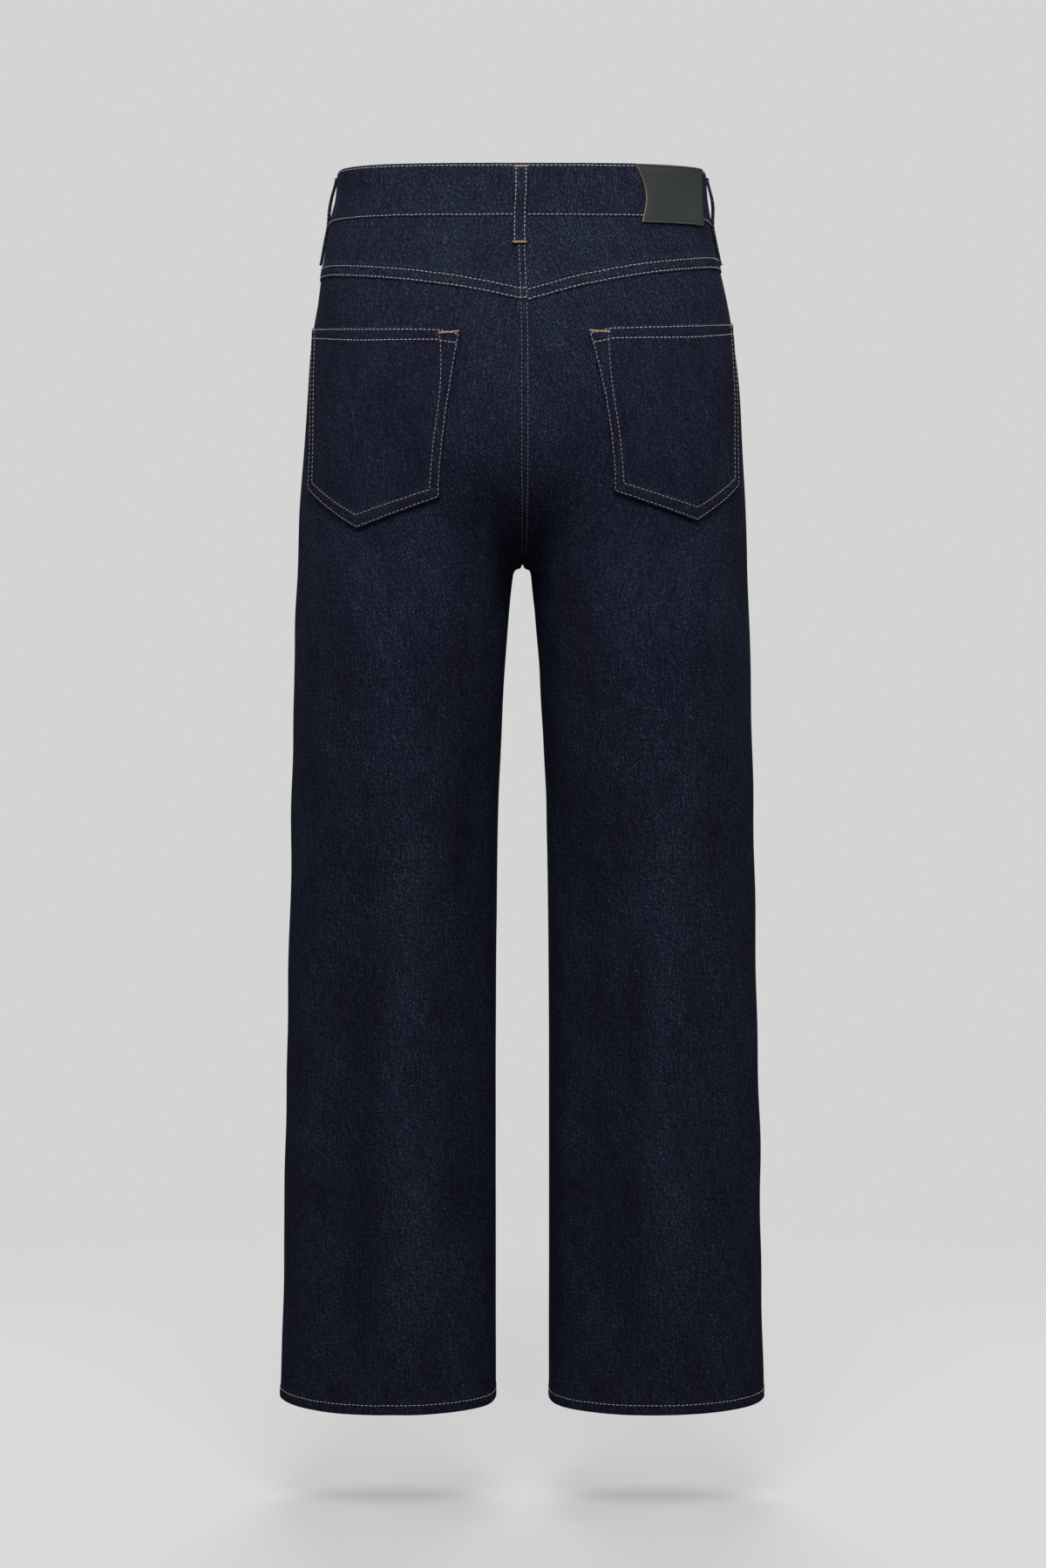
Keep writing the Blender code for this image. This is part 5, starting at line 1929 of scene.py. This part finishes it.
@dataclass
class Button:
    """The metal button on the waistband's left end: a rimmed cap turned about its own axis."""

    radius: float = 0.0085
    height: float = 0.0032
    seat: float = 0.0007
    hole_reach: Pair = (0.0078, 0.0022)
    hole_shift: float = 0.0045
    hole_stitches: int = 60
    steps: int = 64
    profile: tuple[tuple[float, float], ...] = (
        (0.8, 0.00), (0.93, 0.06), (1.00, 0.22), (1.00, 0.62), (0.975, 0.84), (0.93, 0.96),
        (0.87, 1.00), (0.81, 0.97), (0.77, 0.86), (0.74, 0.8), (0.55, 0.8), (0.36, 0.82),
        (0.33, 0.9), (0.27, 0.94), (0.16, 0.95), (0.04, 0.95),
    )

    def build(self) -> None:
        """Turn the profile about the axis, close both of its poles and sew the buttonhole."""
        turn, level = np.array([HAIR]), np.array([0.0])
        seat, out = (part[0] for part in FORM.line(turn, level, self.seat))
        up = np.cross(out, LEFTWARDS)
        radii, heights = (np.array(self.profile) * (self.radius, self.height)).T[..., None]
        angle = CIRCLE * np.arange(self.steps)[None, :] / self.steps
        around = LEFTWARDS * np.cos(angle)[..., None] + up * np.sin(angle)[..., None]
        points = seat + around * radii[..., None] + out * heights[..., None]
        number = np.arange(len(self.profile) * self.steps).reshape(-1, self.steps)
        faces = [walls(number)[:, ::-1], np.stack([number[0, ::-1], number[-1]])]
        place = np.stack(np.broadcast_arrays(angle * self.radius, radii + heights), axis=-1)
        piece = put_mesh("button_cap", points.reshape(-1, 3), faces, place.reshape(-1, 2), sharp=40.0)
        WARDROBE.dress(piece, Metal())
        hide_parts("button")
        self.sew_hole(seat, out, up)

    def sew_hole(self, seat: Array, out: Array, up: Array) -> None:
        """Sew the buttonhole's edge: threads set square to a long oval that starts under the button."""
        angle = np.linspace(0.0, CIRCLE, self.hole_stitches + 1)[:-1, None]
        long_way, short_way = self.hole_reach
        cos, sin = LEFTWARDS * np.cos(angle), up * np.sin(angle)
        rim = seat - LEFTWARDS * self.hole_shift - out * 0.0001 + cos * long_way + sin * short_way
        away = unit(cos / long_way + sin / short_way)
        needle = Sewing(visible=0.0018, radius=0.00022, rise=0.0002, dive=0.0002)
        stitches = Stitches(rim, away, np.tile(out, (len(rim), 1)))
        needle.put("buttonhole_stitches", [stitches], Yarn.BEIGE)


def stand(name: str, data: Any, place: Place, aim: Place) -> Object:
    """Stand a lamp or a camera at a place, turned to what it is aimed at."""
    thing = bpy.data.objects.new(name, data)
    thing.location = place
    thing.rotation_euler = (Vector(aim) - Vector(place)).to_track_quat("-Z", "Y").to_euler()
    bpy.context.scene.collection.objects.link(thing)
    return thing


@dataclass
class Studio:
    """The floor, the light and the camera."""

    floor_level: float = -1.027
    camera_place: Place = (0.0005, 3.3, -0.07)
    camera_aim: Place = (0.0005, 0.0, -0.4575)
    focal_pixels: float = 4886.0
    image_height: float = 1799.0
    sensor_height: float = 24.0
    air: float = 0.658
    air_light: float = 0.25
    key_power: float = 46.0
    key_place: Place = (0.0, 1.2, 1.3)
    key_aim: Place = (0.0, 0.0, -0.4)
    key_size: Pair = (1.1, 0.8)
    side_power: float = 5.0
    side_place: Place = (1.6, 0.0, 0.7)

    def build(self) -> None:
        """Set up everything around the garment."""
        self.add_floor()
        self.add_air()
        (x, y, z), (side_x, side_y, side_z) = self.key_place, self.side_place
        for sign, key, side in ((1.0, "key_back", "side_left"), (-1.0, "key_front", "side_right")):
            self.add_lamp(key, (x, y * sign, z), self.key_power)
            self.add_lamp(side, (side_x * sign, side_y, side_z), self.side_power)
        self.add_camera()
        bpy.context.scene.view_settings.view_transform = "Standard"

    def add_floor(self) -> None:
        """A round floor under the garment, hidden from the light that bounces off it."""
        steps = 96
        angle = CIRCLE * np.arange(steps) / steps
        radii = np.array([0.02, 0.3, 0.6, 0.9, 1.1])
        x, y = radii[:, None] * np.cos(angle), radii[:, None] * np.sin(angle)
        points = np.stack([x, y, np.full_like(x, self.floor_level)], axis=-1).reshape(-1, 3)
        number = np.arange(len(radii) * steps).reshape(len(radii), steps)
        floor = put_mesh("studio_floor", points, [walls(number), number[:1]], points[:, :2])
        floor.data.materials.append(Ground().material())
        floor.visible_diffuse = False
        floor.visible_glossy = False

    def add_air(self) -> None:
        """Pale grey all round for the camera, and a weaker even light for everything else."""
        world = bpy.data.worlds.new("studio_air")
        world.use_nodes = True
        nodes, links = world.node_tree.nodes, world.node_tree.links
        output = nodes["World Output"]
        seen, light = nodes["Background"], nodes.new("ShaderNodeBackground")
        for shader, strength in ((seen, self.air), (light, self.air_light)):
            shader.inputs["Color"].default_value = WHITE
            shader.inputs["Strength"].default_value = strength
        mix, path = nodes.new("ShaderNodeMixShader"), nodes.new("ShaderNodeLightPath")
        links.new(path.outputs["Is Camera Ray"], mix.inputs[0])
        links.new(light.outputs[0], mix.inputs[1])
        links.new(seen.outputs[0], mix.inputs[2])
        links.new(mix.outputs[0], output.inputs["Surface"])
        bpy.context.scene.world = world

    def add_lamp(self, name: str, place: Place, power: float) -> None:
        """A soft square lamp that faces the garment."""
        data = bpy.data.lights.new(name, "AREA")
        data.shape = "RECTANGLE"
        data.size, data.size_y = self.key_size
        data.energy = power
        stand(name, data, place, self.key_aim)

    def add_camera(self) -> None:
        """A camera behind the garment, a little above its middle and tilted down to it."""
        data = bpy.data.cameras.new("camera")
        data.sensor_fit = "VERTICAL"
        data.sensor_height = self.sensor_height
        data.lens = self.focal_pixels / self.image_height * self.sensor_height
        bpy.context.scene.camera = stand("camera", data, self.camera_place, self.camera_aim)


def build_loops() -> None:
    """Build the five belt loops."""
    BeltLoop("belt_loop_back", 1.0, -0.04, -0.0005).build()
    for side in Side:
        for kind, turn, foot in (("side", 0.515, -0.049), ("front", 0.215, -0.042)):
            BeltLoop(f"belt_loop_{kind}_{side.label}", side.turn(turn), foot).build()


def main() -> None:
    """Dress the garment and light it."""
    logging.basicConfig(level=logging.INFO, format="%(name)s: %(message)s")
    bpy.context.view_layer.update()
    for side in Side:
        for part in (FrontPanel(side), BackPanel(side), YokePiece(side), BackPocket(side)):
            part.build()
            if not (isinstance(part, BackPanel) and side is Side.RIGHT):
                part.sew()
        PocketFacing(side).build()
        HEM.sew(side)
    band = Waistband()
    band.build()
    band.sew()
    FlyShield().build()
    build_loops()
    Patch().build()
    Button().build()
    Studio().build()


if __name__ == "__main__":
    main()
